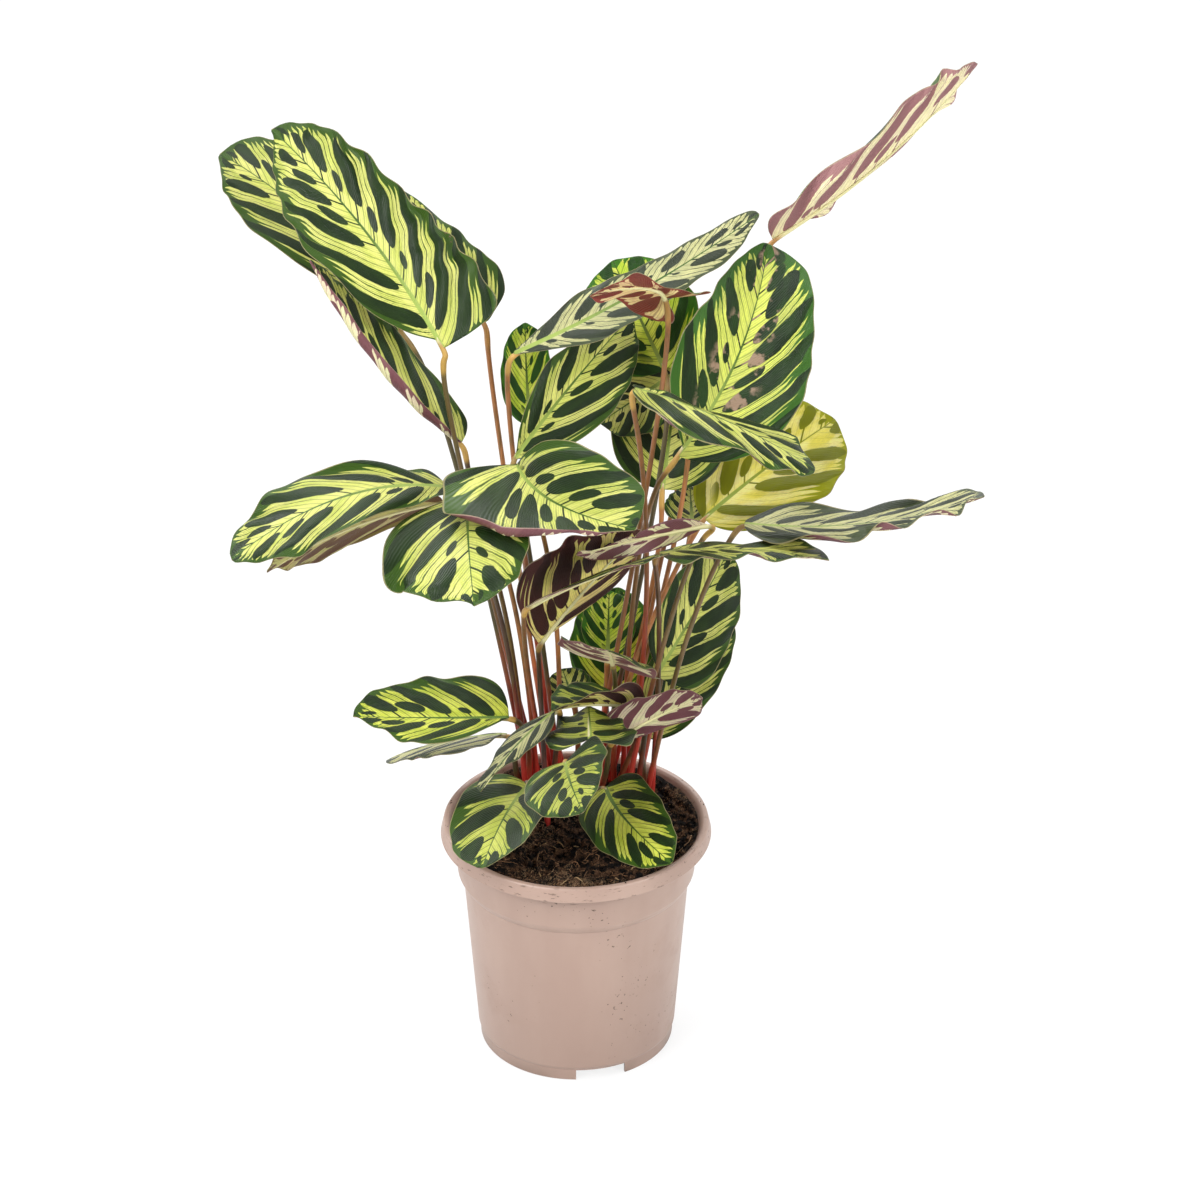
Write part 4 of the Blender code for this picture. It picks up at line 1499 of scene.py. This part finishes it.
LEAVES: tuple[Leaf, ...] = (
    # The crown: the tallest leaves.
    Leaf("crown_left_front", (-24, 64), (-70, 22, 397), (-78, 7, 480), (-180, 66, 596), 75,
         (-92, 30), arch=0.05, fold=-4, widest=0.42, blunt=0.45, sway=0.04,
         left=(1, 15, 27, 33, 32, 20, 4), right=(38, 42, 39, 33, 30, 25, 14), lobes=(0.2, 0.2),
         ruffle=(1.2, 3.6)),
    Leaf("crown_left_outer", (-31, 62), (-74, 68, 371), (-107, 70, 463), (-216, 115, 560), 65,
         (-58, 27), arch=0.05, fold=8, widest=0.48, blunt=0.45, sway=0.05,
         left=(6, 11, 21, 30, 32, 24, 8), right=(14, 24, 30, 33, 32, 28, 19), ruffle=(1.4, 1.4)),
    Leaf("crown_left_inner", (-16, 67), (-46, 94, 363), (-56, 95, 456), (-109, 160, 517), 58,
         (-60, 33), arch=0.02, twist=-10, fold=-5, right=(9, 24, 28, 23, 15, 8, 3),
         ruffle=(1.5, 1.5)),
    Leaf("crown_left_edgewise", (-26, 58), (-55, 42, 318), (-69, 30, 406), (-158, 38, 524), 55,
         (-30, 35), arch=0.05, fold=5, curl_left=150, sway=-0.13,
         right=(16, 22, 27, 28, 22, 13, 4), left=(4, 10, 14, 15, 14, 10, 4), ruffle=(1.5, 1.8)),
    Leaf("crown_right_long", (31, 61), (68, 112, 350), (121, 111, 505), (246, 154, 603), 70,
         (125, 40), arch=-0.03, twist=-10, fold=14, blunt=0.7, sway=-0.05,
         left=(3, 6, 8, 16, 18, 8, 3), right=(20, 23, 28, 32, 33, 26, 12), under=UnderKind.ROSE,
         ruffle=(3.0, 3.0)),
    Leaf("crown_middle_level", (-13, 63), (-37, 50, 374), (-37, 32, 465), (111, 72, 539), 26,
         (-95, 46), sway=0.03, fold=4, blunt=0.52, left=(3, 9, 17, 14, 11, 9, 6),
         right=(3, 9, 16, 15, 14, 12, 4), upper=UpperKind.SILVERY, ruffle=(2.4, 2.4)),
    Leaf("crown_front_nodding", (9, 57), (47, 25, 403), (53, 0, 516), (12, -40, 538), 65, (92, 35),
         widest=0.5, sway=-0.2, lobes=(3, 1.6), left=(11, 6, 5, 8, 14, 20, 16),
         right=(24, 40, 33, 22, 18, 14, 8), under=UnderKind.RUSSET, ruffle=(1.8, 1.8)),
    # The upper tier.
    Leaf("upper_right_broad", (30, 56), (39, 42, 319), (62, 30, 397), (117, 85, 514), 86,
         (-75, 24), arch=0.02, sway=0.07, fold=12, widest=0.54, blunt=0.6,
         left=(0, 17, 36, 40, 32, 22, 9), right=(21, 38, 46, 46, 40, 34, 25),
         upper=UpperKind.SCORCHED, ruffle=(1.0, 1.0)),
    Leaf("upper_back_broad", (15, 67), (50, 47, 363), (55, 76, 433), (23, 111, 491), 72,
         (-100, 35), arch=0.04, upper=UpperKind.BRIGHT),
    Leaf("upper_back_narrow", (-8, 68), (-33, 81, 305), (-28, 75, 396), (-31, 100, 454), 34,
         (-110, 30), arch=0.03, upper=UpperKind.BRIGHT),
    Leaf("upper_middle", (-10, 58), (-28, 42, 319), (-37, 25, 398), (36, 80, 470), 51, (-74, 20),
         arch=0.02, fold=10, blunt=0.6, sway=-0.02, left=(2, 10, 17, 21, 16, 8, 3),
         right=(5, 16, 26, 30, 27, 18, 4), ruffle=(1.3, 1.3)),
    Leaf("upper_back_hanging", (21, 61), (64, 66, 333), (64, 78, 432), (15, 90, 390), 46,
         (-90, 30), arch=0.03),
    Leaf("upper_right_level", (34, 44), (44, 29, 320), (36, -22, 468), (143, -30, 418), 68,
         (40, 84), arch=0.04, twist=-15, fold=-5, left=(9, 6, 11, 23, 32, 29, 10),
         right=(13, 32, 36, 33, 27, 19, 10), lobes=(0.5, 0.5), ruffle=(2.6, 2.6)),
    # The middle tier.
    Leaf("middle_back", (16, 59), (46, 65, 278), (54, 73, 352), (65, 105, 429), 74, (-90, 30),
         arch=0.02),
    Leaf("middle_right_broad", (25, 57), (33, 39, 233), (80, 74, 331), (164, 129, 373), 76,
         (-100, 48), arch=0.05, twist=-10, widest=0.57, upper=UpperKind.SUNLIT,
         under=UnderKind.OLIVE, ruffle=(1.8, 1.8)),
    Leaf("middle_right_long", (44, 36), (71, 28, 277), (104, 41, 345), (251, 33, 368), 59,
         (90, 79), arch=-0.06, twist=15, fold=5, widest=0.37, left=(10, 23, 27, 28, 28, 26, 20),
         right=(19, 29, 31, 29, 23, 15, 4), upper=UpperKind.SILVERY, ruffle=(4.5, 4.5)),
    Leaf("middle_right_under", (48, 42), (52, 33, 264), (51, -3, 348), (155, 2, 340), 85, (90, 74),
         arch=0.04, twist=-10, left=(8, 18, 22, 25, 28, 28, 22), right=(37, 39, 34, 23, 13, 6, 1),
         ruffle=(1.8, 1.8)),
    Leaf("middle_right_small", (39, 52), (57, 67, 236), (73, 84, 323), (72, 104, 338), 34,
         (-90, 60)),
    Leaf("middle_front_broad", (-12, 46), (-14, 36, 300), (-34, -18, 416), (36, -110, 420), 76,
         (-100, 32), arch=0.1, twist=22, fold=18, curl_right=25, widest=0.42, sway=0.08,
         lobes=(0.15, 2), left=(4, 16, 30, 38, 37, 31, 23), right=(22, 34, 46, 37, 25, 14, 4),
         ruffle=(1.2, 1.2), roll_right=120, roll_from=0.2),
    Leaf("middle_left_arching", (-32, 54), (-46, 35, 296), (-77, 6, 388), (-204, -52, 369), 55,
         (-86, 73), arch=0.16, widest=0.47, sway=-0.01, left=(8, 14, 20, 25, 27, 21, 8),
         right=(15, 18, 24, 28, 27, 21, 12), ruffle=(3.2, 3.2)),
    Leaf("middle_left_under", (-32, 39), (-47, 28, 288), (-80, 7, 378), (-186, -25, 346), 58,
         (82, 40), arch=0.06, right=(4, 15, 23, 29, 27, 17, 1), under=UnderKind.OLIVE,
         ruffle=(1.8, 1.8)),
    Leaf("middle_front_left", (-25, 51), (-39, 28, 300), (-64, -6, 388), (-58, -111, 370), 94,
         (-112, 44), arch=0.1, fold=4, widest=0.48, sway=-0.02, left=(22, 32, 38, 40, 40, 33, 21),
         right=(9, 31, 46, 54, 51, 34, 5), lobes=(0.3, 0.3), ruffle=(2.6, 3.0)),
    # Leaves among the stems.
    Leaf("inner_upright", (-18, 9), (-22, 28, 226), (-22, 18, 273), (40, -11, 368), 77, (124, 7),
         arch=0.01, fold=12, widest=0.43, blunt=0.6, sway=0.01, left=(0, 12, 25, 31, 25, 12, 0),
         right=(8, 23, 38, 46, 43, 32, 11), under=UnderKind.MAROON),
    Leaf("inner_edgewise", (-14, 31), (-28, 25, 234), (-29, -26, 323), (57, -36, 365), 42,
         (80, 70), arch=0.03),
    Leaf("inner_rolled", (30, 34), (63, 26, 300), (84, 24, 353), (1, -38, 365), 18, (85, -5),
         arch=0.02, curl_left=40, left=(1, 6, 8, 5, 2, 0, 2), right=(0, 4, 9, 10, 9, 7, 2)),
    Leaf("inner_nodding", (16, 51), (24, 51, 207), (23, 5, 266), (19, -58, 311), 66, (66, 62),
         arch=0.03, fold=-6, curl_left=-22, curl_right=24),
    # The lower tier.
    Leaf("lower_right", (38, 38), (44, 39, 198), (50, 46, 234), (96, 90, 299), 59, (-68, 18),
         arch=0.03, fold=12, widest=0.48, left=(1, 17, 26, 28, 25, 20, 12),
         right=(22, 29, 31, 29, 25, 17, 9)),
    Leaf("lower_right_under", (42, 48), (43, 49, 164), (41, 62, 181), (97, 95, 253), 46, (-88, 30),
         arch=0.04),
    Leaf("lower_back_small", (10, 63), (17, 63, 192), (20, 60, 241), (21, 83, 275), 34, (-92, 35),
         arch=0.04, upper=UpperKind.BRIGHT),
    Leaf("lower_back", (8, 68), (18, 77, 172), (19, 82, 199), (27, 115, 260), 54, (-90, 35),
         arch=0.04, upper=UpperKind.BRIGHT),
    Leaf("lower_right_turned", (15, 45), (19, 30, 173), (23, 22, 200), (79, 8, 240), 38, (100, 10),
         arch=0.05, sway=-0.01, left=(3, 7, 9, 12, 15, 12, 3), right=(12, 21, 23, 21, 17, 14, 10),
         ruffle=(1.8, 1.8)),
    Leaf("lower_front_arched", (2, 37), (9, 68, 173), (9, -30, 233), (8, 23, 225), 62, (-92, 50),
         arch=0.05, fold=-25, upper=UpperKind.SHADED, ruffle=(2.2, 2.2)),
    Leaf("lower_front_folded", (24, 49), (37, 36, 190), (41, 33, 218), (-15, -2, 236), 46,
         (95, 66), arch=0.05, twist=30, fold=32, upper=UpperKind.SHADED, under=UnderKind.MAROON,
         ruffle=(2.0, 2.6)),
    Leaf("lower_left", (-31, 49), (-31, 42, 188), (-42, 26, 215), (-140, 22, 218), 66, (-84, 78),
         fold=12, sway=-0.01, left=(3, 14, 27, 33, 26, 13, 1), right=(21, 31, 33, 32, 27, 21, 11),
         upper=UpperKind.YOUNG),
    Leaf("lower_left_narrow", (-37, 58), (-39, 49, 166), (-44, 58, 184), (-122, 56, 165), 33,
         (90, 75), arch=0.05, left=(0, 19, 31, 31, 24, 15, 9), right=(3, 5, 6, 6, 5, 4, 2),
         upper=UpperKind.SILVERY),
    Leaf("lower_left_drooping", (-16, 26), (-13, 20, 190), (-12, 14, 228), (-59, -26, 192), 29,
         (-165, 66), arch=0.05, twist=20, left=(2, 12, 16, 12, 5, 0, 0),
         right=(2, 8, 13, 13, 9, 7, 6), upper=UpperKind.SILVERY),
    # Young leaves close to the soil.
    Leaf("young_left", (-26, 42), (-31, 25, 166), (-30, 12, 174), (-57, -80, 170), 64, (-120, 55),
         arch=0.06, twist=-12, fold=12, blunt=0.42, lobes=(0.6, 0.6), upper=UpperKind.SHADED),
    Leaf("young_middle", (-9, 38), (-3, -1, 189), (-6, -40, 222), (5, -106, 226), 60, (-117, 44),
         arch=0.06, twist=-8, fold=12, lobes=(0.3, 0.3), upper=UpperKind.SHADED,
         ruffle=(1.6, 1.6)),
    Leaf("young_right", (11, 37), (8, 18, 158), (19, 21, 167), (59, -82, 175), 50, (-108, 48),
         arch=0.08, sway=0.04, twist=-10, fold=4, lobes=(0.3, 0.3), upper=UpperKind.YOUNG),
    Leaf("young_back", (0, 62), (1, 62, 177), (-2, 62, 207), (-9, 76, 222), 30, (-90, 50)),
)


# ---------------------------------------------------------------------------------------------
# Pot and soil


@dataclass
class Pot:
    """The moulded nursery pot: a thin wall, a hollow turned-down lip and a stepped foot."""

    height: float = 157.0
    wall: float = 1.2
    lip_height: float = 9.0
    lip_outer: float = 85.3
    lip_top: float = 83.5
    rim_inner: float = 79.8
    band_height: float = 25.0
    band_top: float = 76.5
    band_foot: float = 75.0
    shoulder: float = 6.0
    body_top: float = 71.3
    body_foot: float = 63.2
    foot: float = 62.0
    foot_width: float = 2.4
    foot_height: float = 8.0
    base: float = 1.6
    rounding: float = 0.6
    notches: tuple[float, ...] = (-75.0, 45.0, 165.0)
    notch_angle: float = 30.0
    notch_depth: float = 10.0
    drains: int = 6
    drain_radius: float = 5.0
    drain_circle: float = 42.0
    steps: int = 160
    sharp_angle: float = 40.0

    def profile(self) -> Profile:
        """The wall: its inside from the floor up, over the lip and down to the foot.

        Returns:
            Points of radius and height from the axis to the axis.
        """
        lip_foot = self.height - self.lip_height
        band_foot = lip_foot - self.band_height
        body_top = band_foot - self.shoulder
        floor = self.foot_height + self.base
        wall = self.wall
        inside = [
            (0.0, floor), (self.body_foot - wall - 1.0, floor),
            (self.body_foot - wall, floor + 1.0),
            (self.body_top - wall, body_top), (self.band_foot - wall, band_foot + 0.5),
            (self.band_top - wall, lip_foot), (self.rim_inner - wall, self.height - 1.5)]
        lip = [
            (self.rim_inner, self.height - 0.4), (self.rim_inner + 0.8, self.height),
            (self.lip_top - 0.8, self.height), (self.lip_top, self.height - 0.7),
            (self.lip_outer, lip_foot + 0.4), (self.lip_outer - 0.2, lip_foot),
            (self.lip_outer - wall, lip_foot), (self.lip_top - wall, self.height - 1.6),
            (self.rim_inner + 0.3, self.height - 1.6)]
        outside = [
            (self.band_top, lip_foot), (self.band_foot, band_foot),
            (self.band_foot - 1.3, band_foot - 3.0),
            (self.body_top, body_top), (self.body_foot, self.foot_height + 2.0),
            (self.foot, self.foot_height), (self.foot - 0.2, 0.0),
            (self.foot - self.foot_width, 0.0),
            (self.foot - self.foot_width, self.foot_height), (0.0, self.foot_height)]
        return rounded(inside + lip + outside, self.rounding, 3)

    def cutter(self) -> bpy.types.Object:
        """The drain holes and foot notches as one cutting shape.

        Returns:
            The shape, as an object of its own.
        """

        def placed(reach: float, angle: float, height: float) -> Matrix:
            """The move to a place about the pot's axis."""
            return Matrix.Translation(Vector((POT_CENTRE + around(reach, angle, height)) * MM))

        shape = bmesh.new()
        for number in range(self.drains):
            angle = math.tau * (number + 0.5) / self.drains
            bmesh.ops.create_cone(
                shape, cap_ends=True, segments=24, depth=4 * self.base * MM,
                radius1=self.drain_radius * MM, radius2=self.drain_radius * MM,
                matrix=placed(self.drain_circle, angle, self.foot_height + self.base / 2))
        span = 2.0 * self.foot * math.sin(math.radians(self.notch_angle / 2))
        height = 2.0 * (self.foot_height - 0.5)
        size = Matrix.Diagonal(Vector((self.notch_depth, span, height, 1.0 / MM)) * MM)
        for turn in self.notches:
            angle = math.radians(turn)
            bmesh.ops.create_cube(shape, size=1.0, matrix=placed(self.foot - 2.0, angle, 0.0)
                                  @ Matrix.Rotation(angle, 4, "Z") @ size)
        return new_object("pot_cutter", mesh_from_shape("pot_cutter", shape))

    def build(self, plastic: bpy.types.Material) -> bpy.types.Object:
        """Build the pot.

        Args:
            plastic: Its finish.

        Returns:
            The finished pot.
        """
        body = new_object("pot_blank", turn_profile("pot_turned", self.profile(), self.steps))
        cutter = self.cutter()
        cut = body.modifiers.new("Holes and notches", "BOOLEAN")
        cut.operation = "DIFFERENCE"
        cut.solver = "EXACT"
        cut.object = cutter
        finished = evaluated_mesh("nursery_pot", body, False)
        for spent in (body, cutter):
            bpy.data.objects.remove(spent, do_unlink=True)
        finished.materials.clear()
        finished.materials.append(plastic)
        finished.set_sharp_from_angle(angle=math.radians(self.sharp_angle))
        return add_piece(finished, "pot")


@dataclass(frozen=True)
class Strewing:
    """Clods or crumbs strewn between two radii, with their number to the square metre.

    Their sizes are in metres, and height is their ground's height, where it isn't the bed.
    """

    name: str
    inner: float
    outer: float
    raise_by: float
    density: float
    smallest: float
    largest: float
    seed: int
    flat: float
    height: float | None = None


@dataclass(frozen=True)
class Litter:
    """Straws or root fibres that lie on the bed: how many, how large and how they wander."""

    name: str
    count: int
    scale: float
    stir: float


@dataclass
class Soil:
    """The peat in the pot: a lumpy bed, loose clods on it, straws, and crumbs on the rim."""

    top: float = 147.5
    heap: float = 6.6
    heap_width: float = 13.0
    edge_radius: float = 77.0
    side: Profile = ((74.9, 147.8), (69.9, 117.0), (61.5, 10.2))
    straw_radius: float = 72.0
    straw_sides: int = 5
    straw_limit: float = 74.0
    straw_steps: int = 9
    straw_lengths: tuple[tuple[float, float], ...] = ((4.0, 10.0), (10.0, 26.0))
    straw_odds: tuple[float, float] = (0.7, 0.3)
    straw_thickness: tuple[float, float] = (0.16, 0.46)
    straw_lift: float = 0.9
    chip_length: float = 9.0
    chip_odds: float = 0.3
    chip_swell: float = 1.6
    seed: int = 17
    rings: int = 46
    steps: int = 150
    lumps: tuple[tuple[float, int], ...] = ((14.0, 14), (6.5, 22), (3.0, 34))
    lump_height: float = 0.055
    mound_height: float = 2.2
    mound_place: tuple[float, float] = (2.0, 44.0)
    mound_spread: tuple[float, float] = (34.0, 24.0)
    ground_grid: tuple[int, int] = (24, 96)
    strewings: tuple[Strewing, ...] = (
        Strewing("soil_clods", 1.0, 75.0, 0.2, 52000.0, 0.0009, 0.0046, 3, 0.8),
        Strewing("soil_crumbs", 1.0, 76.4, 0.5, 230000.0, 0.00035, 0.0013, 8, 0.8),
        Strewing("rim_crumbs", 80.6, 82.6, 0.0, 22000.0, 0.00025, 0.0009, 5, 0.6, 157.15))
    straws: Litter = Litter("soil_straws", 45, 1.0, 0.12)
    fibres: Litter = Litter("soil_fibres", 620, 0.5, 0.45)

    def bumps(self, x: np.ndarray, y: np.ndarray) -> np.ndarray:
        """The bed's lumps in millimetres at each place.

        Args:
            x: Places across.
            y: Places in depth.

        Returns:
            The heights in millimetres.
        """
        chance = np.random.default_rng(self.seed)
        height = np.zeros_like(x)
        for size, count in self.lumps:
            for _ in range(count):
                turn = chance.uniform(0.0, math.tau)
                rate = math.tau / (size * chance.uniform(0.8, 1.6))
                along = (x * math.cos(turn) + y * math.sin(turn)) * rate
                wave = np.sin(along + chance.uniform(0.0, math.tau))
                height += wave * size * self.lump_height / math.sqrt(count / 2)
        return height

    def surface(self, radius: np.ndarray, angle: np.ndarray) -> np.ndarray:
        """Points on the bed's top, with its mound of roots and its bank at the wall.

        Args:
            radius: The radii.
            angle: The angles in radians.

        Returns:
            The points.
        """
        x, y = radius * np.cos(angle), radius * np.sin(angle)
        near_wall = smooth_step(self.edge_radius - self.heap_width, self.edge_radius, radius)
        (centre_x, centre_y), (wide, deep) = self.mound_place, self.mound_spread
        mound = np.exp(-(((x - centre_x) / wide) ** 2 + ((y - centre_y) / deep) ** 2))
        mound = self.mound_height * mound
        level = self.top - 0.6 + self.heap * near_wall ** 1.4 + mound
        return np.stack([x, y, level + self.bumps(x, y) * (1.0 - 0.6 * near_wall)], -1)

    def spot(self, x: float, y: float) -> np.ndarray:
        """The point on the bed's top over one place."""
        return self.surface(np.array([math.hypot(x, y)]), np.array([math.atan2(y, x)]))[0]

    def bed(self) -> bpy.types.Mesh:
        """The closed plug of peat with its lumpy top.

        Returns:
            The closed mesh.
        """
        angles = np.linspace(0.0, math.tau, self.steps, endpoint=False)
        radii = self.edge_radius * np.linspace(0.0, 1.0, self.rings + 1)[1:]
        rows = [self.surface(np.full(self.steps, radius), angles) for radius in radii]
        rows += [around(radius, angles, height) for radius, height in self.side]
        points = np.concatenate([*rows, [self.spot(0.0, 0.0)], [[0.0, 0.0, self.side[-1][1]]]])
        faces = capped_faces(len(rows), self.steps)
        return point_outwards(mesh_from_arrays("soil_bed", points, faces))

    def ground(self, plan: Strewing) -> bpy.types.Mesh:
        """An open sheet over the bed or the rim, which clods are strewn on.

        Args:
            plan: Where the clods lie.

        Returns:
            The sheet.
        """
        rows, columns = self.ground_grid
        radii = np.linspace(plan.inner, plan.outer, rows)
        radius, angle = np.meshgrid(radii, np.linspace(0.0, math.tau, columns), indexing="ij")
        if plan.height is None:
            points = self.surface(radius, angle) + np.array([0.0, 0.0, plan.raise_by])
        else:
            points = around(radius, angle, plan.height)
        mesh = mesh_from_arrays(f"{plan.name}_ground", points.reshape(-1, 3),
                                grid_faces(rows, columns, False))
        if mesh.polygons[0].normal.z < 0:
            mesh.flip_normals()
        return mesh

    def strewn(self, plan: Strewing, strew: GeometryTree,
               peat: bpy.types.Material) -> bpy.types.Mesh:
        """Rough clods strewn as a plan says, which all repeat one of unit size.

        Args:
            plan: Where they lie, how many and how large.
            strew: The tree that strews them.
            peat: Their finish.

        Returns:
            Their mesh.
        """
        shape = bmesh.new()
        bmesh.ops.create_icosphere(shape, subdivisions=1, radius=1.0)
        chance = np.random.default_rng(plan.seed)
        for vert in shape.verts:
            vert.co *= chance.uniform(0.62, 1.18)
            vert.co.z *= plan.flat
        clod = new_object(f"{plan.name}_one", mesh_from_shape(f"{plan.name}_one", shape))
        mesh = strew.run(plan.name, self.ground(plan), Density=plan.density,
                         Smallest=plan.smallest, Largest=plan.largest, Seed=plan.seed,
                         Clod=clod, Material=peat)
        bpy.data.objects.remove(clod, do_unlink=True)
        return mesh

    def scattered(self, litter: Litter, tubes: GeometryTree,
                  material: bpy.types.Material) -> bpy.types.Mesh:
        """Bent straws or root fibres that lie on the bed.

        Args:
            litter: How many there are and how they lie.
            tubes: The tree that makes them round.
            material: Their finish.

        Returns:
            Their mesh.
        """
        chance = np.random.default_rng(self.seed + litter.count)
        points, edges, radii = [], [], []
        for _ in range(litter.count):
            reach = self.straw_radius * math.sqrt(chance.uniform(0.02, 1.0))
            turn = chance.uniform(0.0, math.tau)
            lengths = [chance.uniform(*span) for span in self.straw_lengths]
            length = chance.choice(lengths, p=self.straw_odds)
            heading = chance.uniform(0.0, math.tau)
            bend = chance.normal(0.0, 0.09)
            length *= litter.scale
            radius = chance.uniform(*self.straw_thickness)
            if length < self.chip_length and chance.uniform() < self.chip_odds:
                radius *= self.chip_swell
            radius *= litter.scale
            x, y = reach * math.cos(turn), reach * math.sin(turn)
            first = len(points)
            tilt = abs(chance.uniform(-1.2, 1.6))
            for step in range(self.straw_steps):
                away = math.hypot(x, y)
                if away > self.straw_limit:
                    x, y = x * self.straw_limit / away, y * self.straw_limit / away
                lift = self.straw_lift + tilt * step / self.straw_steps
                points.append(self.spot(x, y) + np.array([0.0, 0.0, lift]))
                radii.append(radius * (1.0 - 0.35 * abs(step / (self.straw_steps - 1) - 0.5)))
                if step:
                    edges.append((first + step - 1, first + step))
                x += length / self.straw_steps * math.cos(heading)
                y += length / self.straw_steps * math.sin(heading)
                heading += bend + chance.normal(0.0, litter.stir)
        path = path_mesh(f"{litter.name}_path", np.array(points), edges, np.array(radii))
        return tubes.run(litter.name, path, Sides=self.straw_sides, Material=material)

    def build(self, tubes: GeometryTree, strew: GeometryTree, peat: bpy.types.Material,
              straw: bpy.types.Material, fibre: bpy.types.Material) -> None:
        """Build the bed and everything that lies on it.

        Args:
            tubes: The tree that makes straws.
            strew: The tree that strews clods.
            peat: The finish of bed and clods.
            straw: The finish of the straws.
            fibre: The finish of the fibres.
        """
        bed = self.bed()
        bed.materials.append(peat)
        add_piece(bed, "soil")
        for plan in self.strewings:
            add_piece(self.strewn(plan, strew, peat))
        for litter, material in ((self.straws, straw), (self.fibres, fibre)):
            add_piece(self.scattered(litter, tubes, material))


# ---------------------------------------------------------------------------------------------
# The whole plant and its studio


@dataclass
class Foliage:
    """Every leaf of the plant with its finishes."""

    leaves: tuple[Leaf, ...]
    soil: Soil

    def build(self, tubes: GeometryTree, pattern: ShaderGroup) -> None:
        """Build every leaf, on the soil at its foot.

        Args:
            tubes: The tree that makes the petioles.
            pattern: The group that draws the blades' markings.
        """
        finishes = {kind: kind.value.build(pattern) for kind in (*UpperKind, *UnderKind)}
        skin = PetioleFinish().build()
        for number, leaf in enumerate(self.leaves):
            piece = LeafPiece(leaf, number, float(self.soil.spot(*leaf.foot)[2]))
            piece.build(tubes, finishes[leaf.upper], finishes[leaf.under], skin)


@dataclass
class Studio:
    """A pale floor, soft light and the camera.  The lamps' places and sizes are in metres."""

    focal: float = 126.0
    sensor: float = 36.0
    pitch: float = 28.7
    eye: Place = (15.12, -2254.97, 1548.14)
    aim: Place = (0.0, 0.0, 0.35)
    floor_glow: float = 0.82
    lamps: tuple[tuple[str, Place, float, float], ...] = (
        ("key", (-1.5, -1.5, 1.6), 1.0, 44.0),
        ("fill", (1.7, -1.3, 1.2), 1.0, 34.0),
        ("top_back", (0.2, 1.6, 2.1), 1.6, 40.0),
        ("left_back", (-1.3, 1.5, 1.7), 1.2, 26.0),
        ("above_front", (-0.5, -0.75, 1.9), 0.7, 16.0))

    def camera(self) -> None:
        """The camera, level across and looking down on the plant."""
        data = bpy.data.cameras.new("camera")
        data.lens = self.focal
        data.sensor_width = self.sensor
        data.clip_end = 50.0
        camera = new_object("camera", data)
        camera.location = Vector((np.array(self.eye) + POT_CENTRE) * MM)
        camera.rotation_euler = (math.radians(90.0 - self.pitch), 0.0, 0.0)
        bpy.context.scene.camera = camera

    def floor(self) -> None:
        """A pale floor that keeps the plant's soft shadow and is near white to the camera."""
        shape = bmesh.new()
        bmesh.ops.create_grid(shape, x_segments=2, y_segments=2, size=9.0)
        floor = new_object("floor", mesh_from_shape("floor", shape))
        finish = Finish("studio_floor")
        wire = finish.wire
        tone = wire.ramp(wire.noise(wire.point(), 3.0, 2.0), 0.0, 1.0, 0.78, 0.82)
        finish.set(Base_Color=wire.vector(tone, tone, tone), Roughness=0.8)
        glow = wire.add("ShaderNodeEmission", {"Color": WHITE, "Strength": 1.0})
        finish.mix_in(wire.rays()[1] * self.floor_glow, glow)
        floor.data.materials.append(finish.material)

    def world(self) -> None:
        """Soft light all round, dimmer towards the front and brighter behind, and white where the
        camera sees past the floor.
        """
        world = bpy.data.worlds.new("studio")
        world.use_nodes = True
        bpy.context.scene.world = world
        wire = Wiring(world.node_tree)
        camera, seen = wire.rays()
        toward = wire.split(wire.read("ShaderNodeTexCoord", "Generated"))
        mirrored = wire.ramp(toward[1], -0.6, 0.7, 0.22, 1.0).max(camera)
        plain = wire.ramp(toward[1], -0.8, 0.8, 0.34, 0.62)
        strength = wire.add("ShaderNodeMix", {0: seen, 2: plain, 3: mirrored}, data_type="FLOAT")
        back = world.node_tree.nodes["Background"]
        wire.feed(back.inputs["Color"], WHITE)
        wire.feed(back.inputs["Strength"], strength.outputs[0])

    def lamp(self, name: str, place: Place, size: float, power: float) -> None:
        """A square soft box that looks at the plant's middle.

        Args:
            name: The lamp's name.
            place: Where it hangs, in metres.
            size: Its side in metres.
            power: Its power in watts.
        """
        data = bpy.data.lights.new(name, "AREA")
        data.shape = "SQUARE"
        data.size = size
        data.energy = power
        lamp = new_object(name, data)
        lamp.location = place
        toward = Vector(self.aim) - Vector(place)
        lamp.rotation_euler = toward.to_track_quat("-Z", "Y").to_euler()

    def build(self) -> None:
        """Set up the camera, the floor, the world and the lamps."""
        self.camera()
        self.floor()
        self.world()
        for lamp in self.lamps:
            self.lamp(*lamp)
        bpy.context.scene.view_settings.view_transform = "Standard"


def main() -> None:
    """Build the pot, the soil, the leaves and the studio."""
    logging.basicConfig(level=logging.INFO, format="%(name)s: %(message)s")
    tubes = tube_tree()
    strew = scatter_tree()
    pattern = PeacockPattern().build()
    specks = speckle()
    Pot().build(PotFinish().build(specks))
    soil = Soil()
    fibre = StrawFinish("peat_fibre", (0.30, 0.155, 0.07), (0.075, 0.036, 0.018))
    soil.build(tubes, strew, PeatFinish().build(specks), StrawFinish().build(), fibre.build())
    Foliage(LEAVES, soil).build(tubes, pattern)
    Studio().build()


if __name__ == "__main__":
    main()
